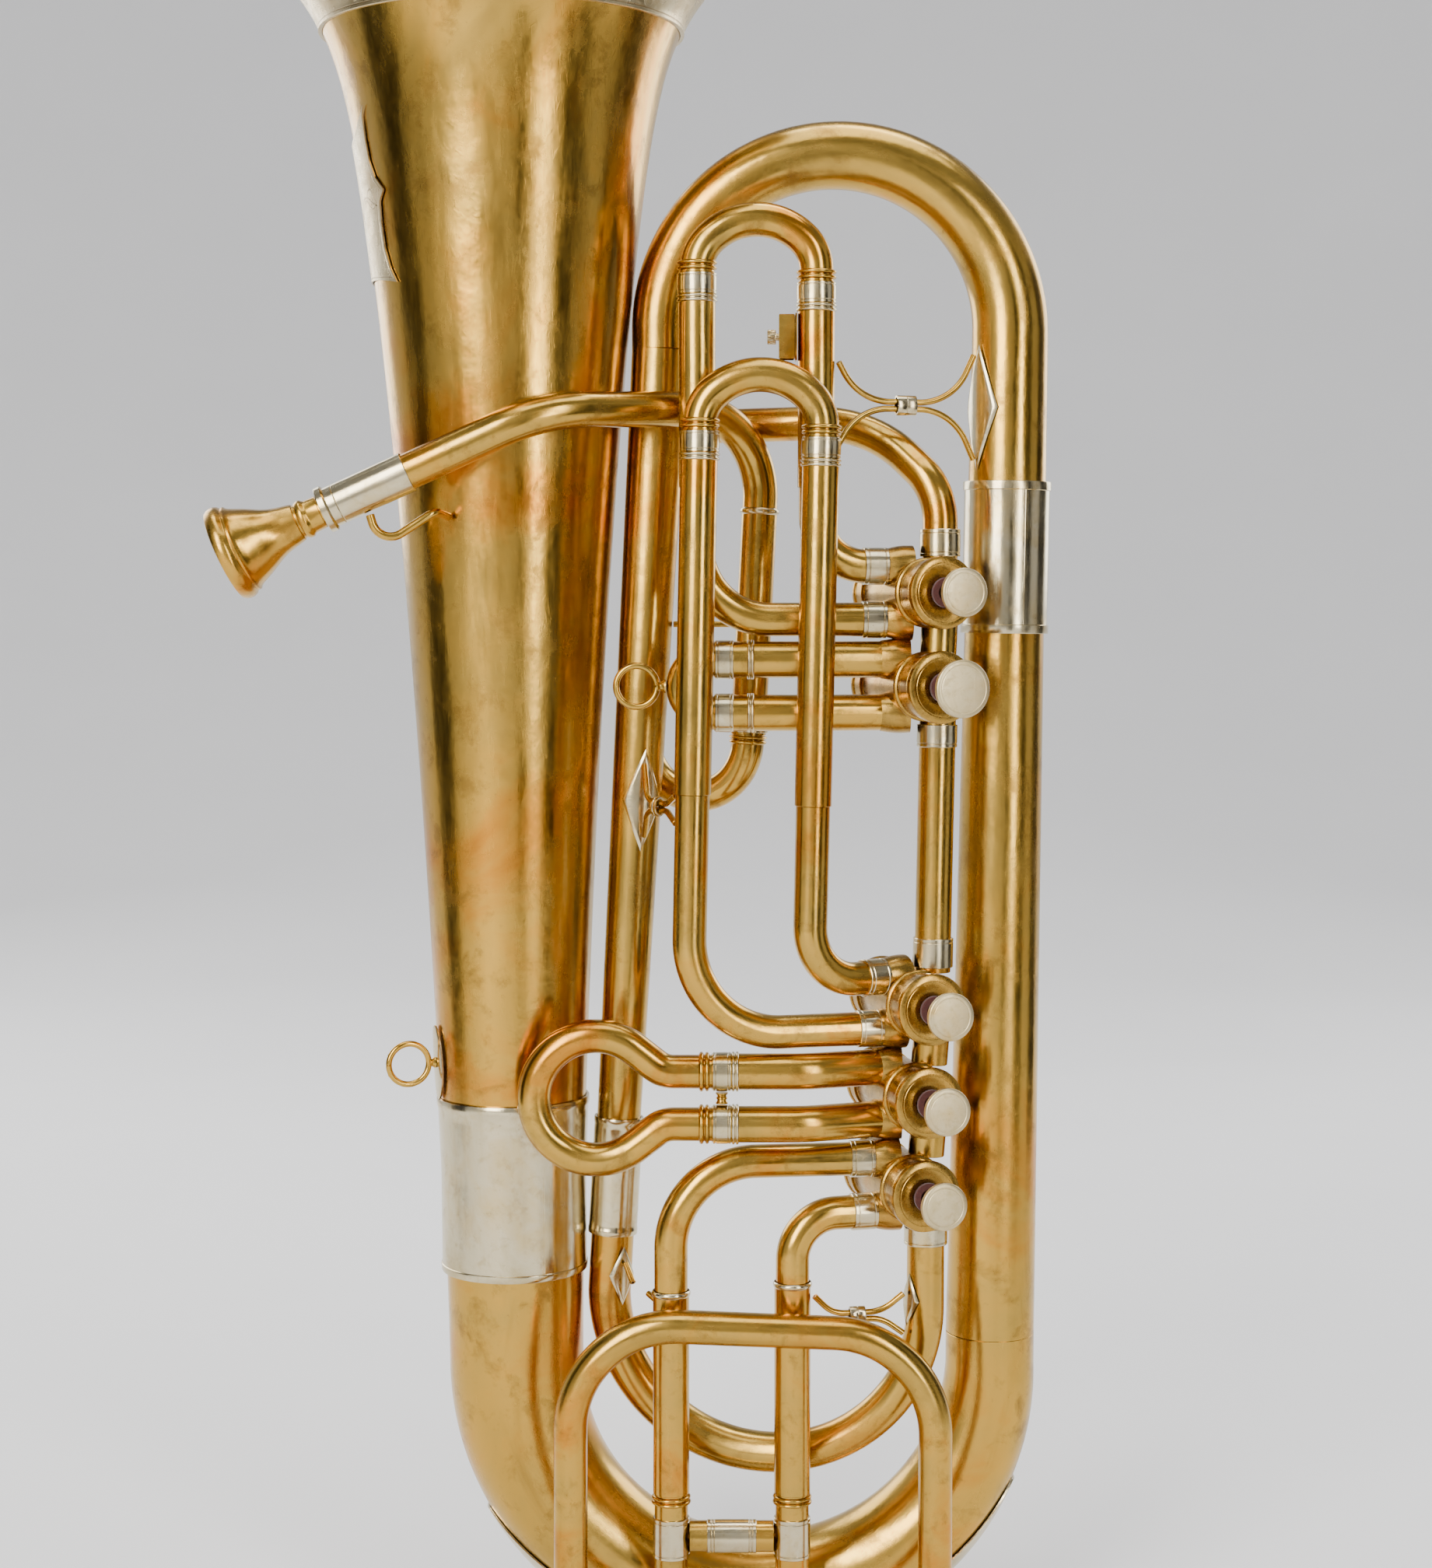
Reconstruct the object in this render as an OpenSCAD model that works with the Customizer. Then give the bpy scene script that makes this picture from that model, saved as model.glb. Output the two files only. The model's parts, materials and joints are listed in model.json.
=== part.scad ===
/* [Overall] */
// Height of the bell rim above the bottom of the bow guard
rim_height = 776; // [700:1:900]
// Distance between the bell axis and the riser axis at the bottom bow
bow_span = 218; // [180:1:270]
// Height of the joints under the top bow
top_bow_height = 599; // [540:1:680]
// Distance between the two legs of the top bow
top_bow_span = 157; // [120:1:200]

/* [Bell and bows] */
// Outer diameter where the bell joins the bottom bow
bell_throat = 64; // [52:1:80]
// Extra radius that the flare adds at the rim
flare = 35; // [24:1:45]
// Lean of the bell away from the valves, degrees
bell_lean = 0.3; // [0:0.1:1]
// Outer diameter of the riser where it joins the bottom bow
riser_base = 40.5; // [34:0.5:48]
// Outer diameter of the top bow at the riser
riser_top = 34; // [30:0.5:40]
// Outer diameter of the top bow at the main tube
main_top = 26; // [24:0.5:30]
// Outer diameter of the main tube where it joins the inner bow
main_base = 19.6; // [18:0.1:22]
// Wall of the bell, bows and other large tubes
wall = 0.8; // [0.6:0.1:1.5]

/* [Tubing] */
// Outer diameter of the crooks and the tubes they match
tube_od = 14.9; // [12:0.1:18]
// Wall of the crooks
tube_wall = 0.5; // [0.4:0.1:0.8]
// Wall of the slide legs that the crooks run in
leg_wall = 0.55; // [0.4:0.05:0.8]
// Radial clearance of a slide in its leg
slide_fit = 0.05; // [0.02:0.01:0.1]
// Radial height of a ferrule over the tube it holds
ferrule_rise = 0.9; // [0.5:0.1:1.5]

/* [Valves] */
// Height of the first valve's axis
upper_valve_z = 490; // [460:1:515]
// Distance between the first and second valves
upper_pitch = 41; // [38:0.5:50]
// Height of the third valve's axis
lower_valve_z = 308.5; // [295:0.5:330]
// Distance between neighbouring lower valves
lower_pitch = 41.2; // [39:0.1:46]
// Distance from the riser's axis to a valve's axis
valve_offset = 42; // [40:0.5:52]
// Distance of the valves in front of the main tubing
valve_depth = 30; // [28:0.5:36]
// Turn of the two upper valves towards the right, degrees
upper_turn = 20; // [0:1:25]
// Turn of the three lower valves towards the right, degrees
lower_turn = 17; // [0:1:25]
// Outer diameter of a valve casing
casing_od = 28.5; // [27:0.1:32]
// Wall of a valve casing
casing_wall = 1; // [0.8:0.1:1.4]
// Reach of a casing in front of its ports
casing_front = 27; // [25:0.5:34]
// Reach of a casing behind its ports
casing_rear = 35; // [34:0.5:42]
// Radial clearance of a piston in its casing
piston_fit = 0.05; // [0.02:0.01:0.1]
// Travel of a piston
travel = 14; // [10:0.5:14]
// Diameter of a finger button
button_d = 21; // [18:0.5:24]
// Diameter of the second valve's wider button
wide_button_d = 25; // [22:0.5:28]
// Thickness of a finger button
button_h = 3.4; // [2.5:0.1:5]
// Height of the two ports above and below a valve's axis
port_rise = 11.7; // [11.5:0.1:13]

/* [Slides] */
// Depth of the first and second loops in front of the main tubing
rear_loop_depth = 36.4; // [35:0.1:38]
// Depth of the third loop in front of the main tubing
front_loop_depth = 54.5; // [54:0.5:60]
// Height of the first loop's crook at its crown
loop1_top = 652; // [630:1:690]
// Height of the third loop's crook at its crown
loop3_top = 583.5; // [550:0.5:600]
// Length of a crook's leg inside the first loop
loop1_grip = 60; // [40:1:70]
// Length of a crook's leg inside the third loop
loop3_grip = 90; // [40:1:110]
// Length of the second slide's legs inside their tubes
slide2_grip = 36; // [25:1:45]
// Length of the fourth slide's legs inside their tubes
slide4_grip = 32; // [25:1:38]
// Length of the fifth slide's legs inside their tubes
loop5_grip = 60; // [40:1:70]
// Length of the main tuning slide's legs inside their tubes
tuning_grip = 70; // [40:1:80]
// Radius of the fourth slide's round crook
round_crook_r = 27.5; // [24:0.5:30]

/* [Mouthpiece] */
// Outer diameter of the mouthpiece rim
rim_d = 42; // [38:0.5:48]
// Depth of the mouthpiece cup
cup_depth = 27; // [22:0.5:32]
// Slope of the mouthpiece and leadpipe, degrees
lead_slope = 24.5; // [18:0.5:30]

/* [Hidden] */
$fn = 48;

brass = [0.80, 0.60, 0.28];
nickel = [0.82, 0.76, 0.70];
felt_red = [0.35, 0.05, 0.05];
steel = [0.65, 0.66, 0.68];

// Solder gap between two pieces of one body, and the seam between two tubes in a row
gap = 0.05;
seam = 0.02;

// Tube sizes that follow from the crook tube
tube_bore = tube_od - 2 * tube_wall;
leg_bore = tube_od + 2 * slide_fit;
leg_od = leg_bore + 2 * leg_wall;
lead_od = tube_od + 0.9;
rod_d = 2.8;

// ---------- vectors and routes ----------
function unit(v) = v / norm(v);
function corner_turn(p, i) =
  acos(max(-1, min(1, unit(p[i] - p[i - 1]) * unit(p[i + 1] - p[i]))));
function corner_cut(p, i, r) = r[i] * tan(corner_turn(p, i) / 2);

// Corners of the polygon whose fillets are one arc in an upright plane at depth y
function arc_corners(c, y, r, a0, a1, n) =
  let (d = (a1 - a0) / n)
  [for (k = [0 : n - 1])
    let (a = a0 + (k + 0.5) * d)
    [c[0] + r / cos(d / 2) * cos(a), y, c[1] + r / cos(d / 2) * sin(a)]];

module along(a, b) {
  v = b - a;
  translate(a)
    rotate([0, acos(v[2] / norm(v)), atan2(v[1], v[0])])
      children();
}

module annulus(d, bore) {
  difference() {
    circle(d = d);
    if (bore > 0)
      circle(d = bore);
  }
}

module straight(a, b, d, bore) {
  along(a, b)
    linear_extrude(norm(b - a))
      annulus(d, bore);
}

// A ferrule or bead of the given length centred on point c, along direction t
module collar(c, t, d, bore, length) {
  straight(c - unit(t) * length / 2, c + unit(t) * length / 2, d, bore);
}

// One bend that follows direction t0, then t1, with its corner at point c
module bend(c, t0, t1, r, d, bore) {
  turn = acos(t0 * t1);
  inward = unit(t1 - t0 * (t0 * t1));
  axle = cross(t0, inward);
  start = c - t0 * r * tan(turn / 2);
  centre = start + inward * r;
  slit = seam / r * 180 / PI;
  multmatrix([
    [-inward[0], t0[0], axle[0], centre[0]],
    [-inward[1], t0[1], axle[1], centre[1]],
    [-inward[2], t0[2], axle[2], centre[2]],
    [0, 0, 0, 1]])
    rotate([0, 0, slit])
      rotate_extrude(angle = turn - 2 * slit)
        translate([r, 0])
          annulus(d, bore);
}

// A tube through the points p, bent to radius r[i] at each inner point
module pipe(p, r, d, bore) {
  last = len(p) - 1;
  for (i = [0 : last - 1]) {
    t = unit(p[i + 1] - p[i]);
    a = i == 0 ? p[0] : p[i] + t * corner_cut(p, i, r);
    b = i == last - 1 ? p[last] : p[i + 1] - t * corner_cut(p, i + 1, r);
    if ((b - a) * t > 0.1)
      straight(a, b, d, bore);
    if (i > 0)
      bend(p[i], unit(p[i] - p[i - 1]), t, r[i], d, bore);
  }
}

// ---------- swept shells for the tapered bows ----------
function path_tangent(p, i) =
  unit(p[min(i + 1, len(p) - 1)] - p[max(i - 1, 0)]);
function hoop(c, t, r, sides) =
  let (b = unit([0, 1, 0] - t * t[1]), e = cross(b, t))
  [for (k = [0 : sides - 1]) c + r * (cos(360 * k / sides) * e + sin(360 * k / sides) * b)];

// A hollow tube along points p, with outer radii r and the wall thickness w
module tapered_tube(p, r, w, sides) {
  rings = len(p);
  shell = rings * sides;
  points = [
    for (layer = [0, 1], i = [0 : rings - 1], q = hoop(p[i], path_tangent(p, i), r[i] - layer * w, sides)) q];
  function at(layer, i, k) = layer * shell + i * sides + k % sides;
  faces = [
    for (i = [0 : rings - 2], k = [0 : sides - 1]) each [
      [at(0, i, k), at(0, i + 1, k), at(0, i + 1, k + 1)],
      [at(0, i, k), at(0, i + 1, k + 1), at(0, i, k + 1)],
      [at(1, i, k), at(1, i + 1, k + 1), at(1, i + 1, k)],
      [at(1, i, k), at(1, i, k + 1), at(1, i + 1, k + 1)]],
    for (k = [0 : sides - 1]) each [
      [at(0, 0, k), at(0, 0, k + 1), at(1, 0, k + 1)],
      [at(0, 0, k), at(1, 0, k + 1), at(1, 0, k)],
      [at(0, rings - 1, k), at(1, rings - 1, k + 1), at(0, rings - 1, k + 1)],
      [at(0, rings - 1, k), at(1, rings - 1, k), at(1, rings - 1, k + 1)]]];
  polyhedron(points, faces);
}

// A closed plate between two grids of points of the same size
module plate(outer, inner) {
  rows = len(outer);
  cols = len(outer[0]);
  points = [for (g = [outer, inner], row = g, q = row) q];
  function at(layer, i, k) = layer * rows * cols + i * cols + k;
  rim = concat(
    [for (k = [0 : cols - 2]) [0, k, 0, k + 1]],
    [for (i = [0 : rows - 2]) [i, cols - 1, i + 1, cols - 1]],
    [for (k = [cols - 1 : -1 : 1]) [rows - 1, k, rows - 1, k - 1]],
    [for (i = [rows - 1 : -1 : 1]) [i, 0, i - 1, 0]]);
  faces = [
    for (i = [0 : rows - 2], k = [0 : cols - 2]) each [
      [at(0, i, k), at(0, i, k + 1), at(0, i + 1, k + 1)],
      [at(0, i, k), at(0, i + 1, k + 1), at(0, i + 1, k)],
      [at(1, i, k), at(1, i + 1, k + 1), at(1, i, k + 1)],
      [at(1, i, k), at(1, i + 1, k), at(1, i + 1, k + 1)]],
    for (e = rim) each [
      [at(0, e[0], e[1]), at(1, e[0], e[1]), at(1, e[2], e[3])],
      [at(0, e[0], e[1]), at(1, e[2], e[3]), at(0, e[2], e[3])]]];
  polyhedron(points, faces);
}

// ---------- the large bore: bell, bows, riser and main tube ----------
guard_t = 0.8;
guard_gap = 0.45;
band_t = 0.9;
bow_r = bow_span / 2;
bow_taper = 1.4;
bow_left_r = bell_throat / 2 - 1.3;
bow_right_r = riser_base / 2;
function bow_tube_r(f) = bow_left_r + (bow_right_r - bow_left_r) * pow(f, bow_taper);
bow_z = bow_r + bow_tube_r(0.5) + guard_gap + guard_t;
bell_base = [-bow_r - 1, 0, 226];
riser_foot = [bow_r, 0, bow_z + 14];
riser_lean = 6;
riser_head = [bow_r + riser_lean, 0, top_bow_height];
main_head = [riser_head[0] - top_bow_span, 0, top_bow_height];
main_foot = [main_head[0] - 21.2, 0, 224];
riser_joint_z = 506;
bell_axis = [-sin(bell_lean), 0, cos(bell_lean)];
riser_axis = unit(riser_head - riser_foot);
main_axis = unit(main_head - main_foot);
// Straight length at the end of a bow that stands square to the tube it meets
end_stub = 4;
function riser_x(z) =
  bow_r + riser_lean * (z - riser_foot[2]) / (top_bow_height - riser_foot[2]);
function riser_r(z) =
  (riser_base + (riser_top - riser_base) * (z - riser_foot[2]) / (top_bow_height - riser_foot[2])) / 2;
function main_x(z) =
  main_foot[0] + (main_head[0] - main_foot[0]) * (z - main_foot[2]) / (top_bow_height - main_foot[2]);
function main_r(z) =
  (main_base + (main_top - main_base) * (z - main_foot[2]) / (top_bow_height - main_foot[2])) / 2;

// Outer radius of the bell at height h above its joint
bell_length = rim_height - bell_base[2];
horn_offset = 600;
horn_power = 1.38;
flare_fade = 24;
function bell_r(h) =
  let (s = bell_length - h)
  bell_throat / 2 * pow((bell_length + horn_offset) / (s + horn_offset), horn_power)
    + flare * exp(-s / flare_fade);

module bell_frame() {
  translate(bell_base)
    rotate([0, -bell_lean, 0])
      children();
}

function bell_heights(from, to) =
  let (n = 34)
  [for (i = [0 : n]) from + (to - from) * (1 - pow(1 - i / n, 2.2))];

garland_drop = 38;
rim_bead = 2.2;
module bell() {
  hs = bell_heights(0, bell_length - rim_bead);
  color(brass)
    bell_frame()
      rotate_extrude($fn = 96)
        polygon(concat(
          [for (h = hs) [bell_r(h), h]],
          [[bell_r(bell_length - rim_bead) + 1.4, bell_length - rim_bead],
            [bell_r(bell_length - rim_bead) + 2.4, bell_length - rim_bead / 2],
            [bell_r(bell_length - rim_bead) + 1.6, bell_length],
            [bell_r(bell_length - rim_bead) - 1.2, bell_length]],
          [for (i = [len(hs) - 1 : -1 : 0]) [bell_r(hs[i]) - wall - 0.4 * (hs[i] / bell_length), hs[i]]]));
}

module bell_garland() {
  top = bell_length - rim_bead - 0.4;
  low = bell_length - garland_drop;
  hs = [for (i = [0 : 12]) low + (top - low) * (1 - pow(1 - i / 12, 1.6))];
  clear = 0.25;
  color(nickel)
    bell_frame()
      rotate_extrude($fn = 96)
        polygon(concat(
          [[bell_r(low) + clear, low], [bell_r(low) + 1.8, low], [bell_r(low) + 1.9, low + 1.6]],
          [for (i = [1 : 12]) [bell_r(hs[i]) + clear + 0.7, hs[i] - 0.5]],
          [for (i = [12 : -1 : 1]) [bell_r(hs[i]) + clear, hs[i]]]));
}

// Scalloped plate on the left of the bell, with three cusps down each side
shield_top = bell_length - 75;
shield_height = 76;
shield_centre = 184;
// Half width in degrees at shares of the height from the top
shield_edge = [[0, 29.7], [0.06, 27.4], [0.18, 26.7], [0.3, 27.3], [0.4, 30.2], [0.48, 35.6],
  [0.54, 31.8], [0.65, 30.9], [0.8, 31.4], [0.92, 34.3], [1, 38]];
module bell_shield() {
  cols = 12;
  function point(f, k, lift) =
    let (u = 2 * k / cols - 1,
      high = shield_top - 13 * (1 - pow(abs(u), 2.4)),
      low = shield_top - shield_height + 3.5 * (1 - u * u),
      h = high + (low - high) * f,
      a = shield_centre + lookup(f, shield_edge) * u, r = bell_r(h) + lift)
    [r * cos(a), r * sin(a), h];
  color(nickel)
    bell_frame()
      plate(
        [for (e = shield_edge) [for (k = [0 : cols]) point(e[0], k, 1.2)]],
        [for (e = shield_edge) [for (k = [0 : cols]) point(e[0], k, 0.5)]]);
}

bell_band_low = -45;
bell_band_high = 35;
module bell_band() {
  lo = bell_band_low;
  hi = bell_band_high;
  color(nickel)
    bell_frame()
      rotate_extrude($fn = 96)
        polygon([
          for (q = [[lo, 0.3], [lo, 1.5], [lo + 3, 1.7], [lo + 4, band_t + 0.3], [0, band_t + 0.3],
            [hi - 4, band_t + 0.3], [hi - 3, 1.7], [hi, 1.5], [hi, 0.3], [0, 0.3]])
            [bell_r(max(q[0], 0)) + q[1], q[0]]]);
}

function bow_point(f) = [-bow_r * cos(180 * f), 0, bow_z - bow_r * sin(180 * f)];
bow_steps = 26;
module bottom_bow() {
  color(brass)
    tapered_tube(
      concat(
        [bell_base - bell_axis * gap, bell_base - bell_axis * end_stub, [-bow_r - 0.5, 0, (bell_base[2] + bow_z) / 2]],
        [for (i = [0 : bow_steps]) bow_point(i / bow_steps)],
        [riser_foot - riser_axis * end_stub, riser_foot - riser_axis * gap]),
      concat(
        [bell_throat / 2, bell_throat / 2, (bell_throat / 2 + bow_left_r) / 2],
        [for (i = [0 : bow_steps]) bow_tube_r(i / bow_steps)],
        [bow_right_r, bow_right_r]),
      wall, 28);
}

// Guard plate on the outside of the bottom bow, pointed at both ends
guard_start = 0.16;
guard_end = 0.865;
guard_wrap = 62;
module bow_guard() {
  rows = 23;
  cols = 11;
  function point(i, k, lift) =
    let (f = guard_start + (guard_end - guard_start) * i / (rows - 1),
      half = guard_wrap * pow(sin(180 * (0.02 + 0.96 * i / (rows - 1))), 0.45),
      a = half * (2 * k / (cols - 1) - 1), out = [-cos(180 * f), 0, -sin(180 * f)],
      r = bow_tube_r(f) + lift)
    bow_point(f) + r * (cos(a) * out + sin(a) * [0, -1, 0]);
  color(nickel)
    plate(
      [for (i = [0 : rows - 1]) [for (k = [0 : cols - 1]) point(i, k, guard_gap + guard_t)]],
      [for (i = [0 : rows - 1]) [for (k = [0 : cols - 1]) point(i, k, guard_gap)]]);
}

module tapered_straight(a, b, d0, d1, w) {
  along(a, b)
    difference() {
      cylinder(h = norm(b - a), d1 = d0, d2 = d1, $fn = 64);
      translate([0, 0, -1])
        cylinder(h = norm(b - a) + 2, d1 = d0 - 2 * w, d2 = d1 - 2 * w, $fn = 64);
    }
}

module riser_tube() {
  color(brass)
    tapered_straight(riser_foot, [riser_x(riser_joint_z), 0, riser_joint_z],
      riser_base, 2 * riser_r(riser_joint_z), wall);
}

module riser_band() {
  half = 34;
  lo = riser_joint_z - half;
  hi = riser_joint_z + half;
  color(nickel)
    difference() {
      union() {
        straight([riser_x(lo), 0, lo], [riser_x(hi), 0, hi], 2 * riser_r(lo) + 0.8 + 2 * band_t, 0);
        for (z = [lo, hi - 4])
          straight([riser_x(z), 0, z], [riser_x(z + 4), 0, z + 4], 2 * riser_r(lo) + 2 + 2 * band_t, 0);
      }
      straight([riser_x(lo - 1), 0, lo - 1], [riser_x(hi + 1), 0, hi + 1], 2 * riser_r(lo) + 0.8, 0);
    }
}

top_bow_r = top_bow_span / 2;
top_steps = 22;
module top_bow() {
  centre = (main_head + riser_head) / 2;
  start = [riser_x(riser_joint_z + seam), 0, riser_joint_z + seam];
  color(brass)
    tapered_tube(
      concat(
        [main_head + main_axis * gap, main_head + main_axis * end_stub],
        [for (i = [0 : top_steps]) centre + top_bow_r * [-cos(180 * i / top_steps), 0, sin(180 * i / top_steps)]
          + [0, 0, 2 * end_stub]],
        [start]),
      concat(
        [main_top / 2, main_top / 2],
        [for (i = [0 : top_steps]) (main_top + (riser_top - main_top) * i / top_steps) / 2],
        [riser_r(riser_joint_z)]),
      wall, 24);
}

module main_tube() {
  color(brass)
    tapered_straight(main_foot, main_head, main_base, main_top, wall);
}

module main_band() {
  half = 27;
  lo = main_foot[2] - half;
  hi = main_foot[2] + half;
  bore = 2 * main_r(hi) + 0.4;
  color(nickel)
    difference() {
      union() {
        straight([main_x(lo), 0, lo], [main_x(hi), 0, hi], bore + 2 * band_t, 0);
        for (z = [lo, hi - 3])
          straight([main_x(z), 0, z], [main_x(z + 3), 0, z + 3], bore + 2 * band_t + 0.4, 0);
      }
      straight([main_x(lo - 1), 0, lo - 1], [main_x(hi + 1), 0, hi + 1], bore, 0);
    }
}

// ---------- valves ----------
valve_z = [upper_valve_z, upper_valve_z - upper_pitch, lower_valve_z,
  lower_valve_z - lower_pitch, lower_valve_z - 2 * lower_pitch];
valve_turn = [upper_turn, upper_turn, lower_turn, lower_turn, lower_turn];
port_offset = 10;
// Drift of each valve below the third towards the left
valve_drift = 0.6;
function valve_x(i) = riser_x(valve_z[i]) - valve_offset - max(0, i - 2) * valve_drift;
function valve_at(i) = [valve_x(i), -valve_depth, valve_z[i]];
function line_x(i) = valve_x(i) + port_offset;

casing_bore = casing_od - 2 * casing_wall;
piston_d = casing_bore - 2 * piston_fit;
piston_front = casing_front - 4;
piston_back = -14;
rear_cap_t = 2;
front_cap_t = 2;
stem_d = 7;
stem_reach = 19;
cap_d = casing_od + 2;
cap_skirt = 8;
cap_face = casing_front + gap + front_cap_t;
felt_t = 2.5;
button_back = cap_face + felt_t + travel + 1;
port_bore = 10;
bead_at = 9;
bead_w = 3;
bead_rise = 1.2;

module valve_frame(i) {
  translate(valve_at(i))
    rotate([90, 0, valve_turn[i]])
      children();
}

// The space that a casing fills, with the solder gap round it
module casing_space(i) {
  valve_frame(i) {
    translate([0, 0, -casing_rear - 2])
      cylinder(h = casing_rear + casing_front + 4, d = casing_od + 2 * gap);
    translate([0, 0, bead_at - gap])
      cylinder(h = bead_w + 2 * gap, d = casing_od + 2 * bead_rise + 2 * gap);
  }
}

module casing(i) {
  r = casing_od / 2;
  bead = r + bead_rise;
  color(brass)
    valve_frame(i)
      difference() {
        rotate_extrude()
          polygon([[casing_bore / 2, -casing_rear], [r, -casing_rear], [r, bead_at], [bead, bead_at + 0.6],
            [bead, bead_at + bead_w - 0.6], [r, bead_at + bead_w], [r, casing_front], [casing_bore / 2, casing_front]]);
        for (side = [1, -1]) {
          translate([port_offset - 3, 0, 0])
            rotate([-90 * side, 0, 0])
              cylinder(h = casing_od, d = port_bore);
          translate([0, side * (port_rise - 2.5), 0])
            rotate([0, -90, 0])
              cylinder(h = casing_od, d = port_bore);
        }
      }
}

module piston(i) {
  r = piston_d / 2;
  color(nickel)
    valve_frame(i)
      difference() {
        rotate_extrude()
          polygon([[0, piston_back + 10], [r - 2.5, piston_back + 10], [r - 2.5, piston_back],
            [r, piston_back], [r, piston_front], [stem_d / 2, piston_front],
            [stem_d / 2, button_back + 1.6], [0, button_back + 1.6]]);
        translate([port_offset - 4.5, -piston_d, 3])
          rotate([-90, 0, 0])
            cylinder(h = 2 * piston_d, d = port_bore - 2);
        for (side = [1, -1])
          translate([0, 0, travel + 1])
            rotate([0, 0, side * 45])
              translate([-piston_d, side * 8, 0])
                rotate([0, 90, 0])
                  cylinder(h = 2 * piston_d, d = 6);
      }
}

module button(i) {
  d = i == 1 ? wide_button_d : button_d;
  b = button_back;
  color(nickel)
    valve_frame(i)
      rotate_extrude()
        polygon([[stem_d / 2 + gap, b - 0.4], [d / 2 - 5, b - 0.4], [d / 2 - 0.8, b + 0.4], [d / 2, b + 1.2],
          [d / 2, b + button_h - 0.8], [d / 2 - 0.8, b + button_h], [0, b + button_h + 0.3],
          [0, b + 1.7], [stem_d / 2 + gap, b + 1.7]]);
}

// Coil spring between the rear cap and the piston, as a swept five-sided wire
spring_turns = 5.5;
spring_wire = 1.2;
spring_d = 17;
module spring(i) {
  low = -casing_rear + spring_wire / 2 + 0.2;
  high = piston_back + 10 - spring_wire / 2 - 0.2;
  rings = 56;
  sides = 5;
  function turn(k) = 360 * spring_turns * k / (rings - 1);
  function centre(k) =
    [spring_d / 2 * cos(turn(k)), spring_d / 2 * sin(turn(k)), low + (high - low) * k / (rings - 1)];
  points = [for (k = [0 : rings - 1], s = [0 : sides - 1])
    let (a = 360 * s / sides, out = [cos(turn(k)), sin(turn(k)), 0])
    centre(k) + spring_wire / 2 * (cos(a) * out + sin(a) * [0, 0, 1])];
  function at(k, s) = k * sides + s % sides;
  faces = concat(
    [for (k = [0 : rings - 2], s = [0 : sides - 1]) each [
      [at(k, s), at(k + 1, s), at(k + 1, s + 1)],
      [at(k, s), at(k + 1, s + 1), at(k, s + 1)]]],
    [[for (s = [0 : sides - 1]) at(0, s)], [for (s = [sides - 1 : -1 : 0]) at(rings - 1, s)]]);
  color(steel)
    valve_frame(i)
      polyhedron(points, faces);
}

module front_caps() {
  r = casing_od / 2 + gap;
  f = casing_front;
  color(brass)
    for (i = [0 : 4])
      valve_frame(i)
        rotate_extrude()
          polygon([[stem_d / 2 + 0.1, f + gap], [r, f + gap], [r, f - cap_skirt + 2], [cap_d / 2, f - cap_skirt + 2],
            [cap_d / 2, f - 1.6], [cap_d / 2 + 0.6, f - 1], [cap_d / 2 + 0.6, f + 1],
            [cap_d / 2 - 1, cap_face], [stem_d / 2 + 0.1, cap_face]]);
}

module rear_caps() {
  r = casing_od / 2 + gap;
  f = -casing_rear;
  color(brass)
    for (i = [0 : 4])
      valve_frame(i)
        rotate_extrude()
          polygon([[0, f - gap], [r, f - gap], [r, f + cap_skirt], [cap_d / 2, f + cap_skirt],
            [cap_d / 2, f + 1.6], [cap_d / 2 + 0.6, f + 1], [cap_d / 2 + 0.6, f - 0.6],
            [cap_d / 2 - 1, f - gap - rear_cap_t], [0, f - gap - rear_cap_t]]);
}

module cap_felts() {
  color(felt_red)
    for (i = [0 : 4])
      valve_frame(i)
        translate([0, 0, cap_face + gap])
          linear_extrude(felt_t)
            annulus(13, stem_d + 0.8);
}

// Tubes between neighbouring valves and down to the inner bow
bow_in_z = 200;
module valve_tubes() {
  color(brass)
    difference() {
      for (i = [0 : 4]) {
        top = [line_x(i), -valve_depth, valve_z[i] - 1];
        low = i < 4 ? [line_x(i + 1), -valve_depth, valve_z[i + 1] + 1] : [line_x(4), -valve_depth, bow_in_z + gap];
        straight(top, low, leg_od, leg_bore);
      }
      for (i = [0 : 4])
        casing_space(i);
    }
}

// ---------- inner bow ----------
inner_z = 170.3;
inner_left = [main_x(inner_z), 0, inner_z];
inner_right = [line_x(4), -valve_depth, inner_z];
inner_steps = 24;
module inner_bow() {
  cx = (inner_left[0] + inner_right[0]) / 2;
  r = (inner_right[0] - inner_left[0]) / 2;
  function ease(f) = f * f * (3 - 2 * f);
  color(brass)
    tapered_tube(
      concat(
        [main_foot - [0, 0, gap]],
        [for (i = [0 : inner_steps])
          let (f = i / inner_steps)
          [cx - r * cos(180 * f), -valve_depth * ease(f), inner_z - r * sin(180 * f)]],
        [[line_x(4), -valve_depth, bow_in_z]]),
      concat(
        [main_base / 2],
        [for (i = [0 : inner_steps]) main_base / 2 - (main_base - leg_od - 0.6) / 2 * i / inner_steps],
        [leg_od / 2 + 0.3]),
      0.7, 20);
}

// ---------- mouthpiece and leadpipe ----------
lead_y = -60;
lead_start = [-bow_r - 44, lead_y, 540];
lead_dir = [cos(lead_slope), 0, sin(lead_slope)];
lead_knee = lead_start + lead_dir * 68;
tuning_x = line_x(0) - 79;
tuning_back_x = main_x(420) + 7;
tuning_y = 3;
tuning_back_y = 25.5;
tuning_mouth = 426;
tuning_centre = 423.5;
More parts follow.
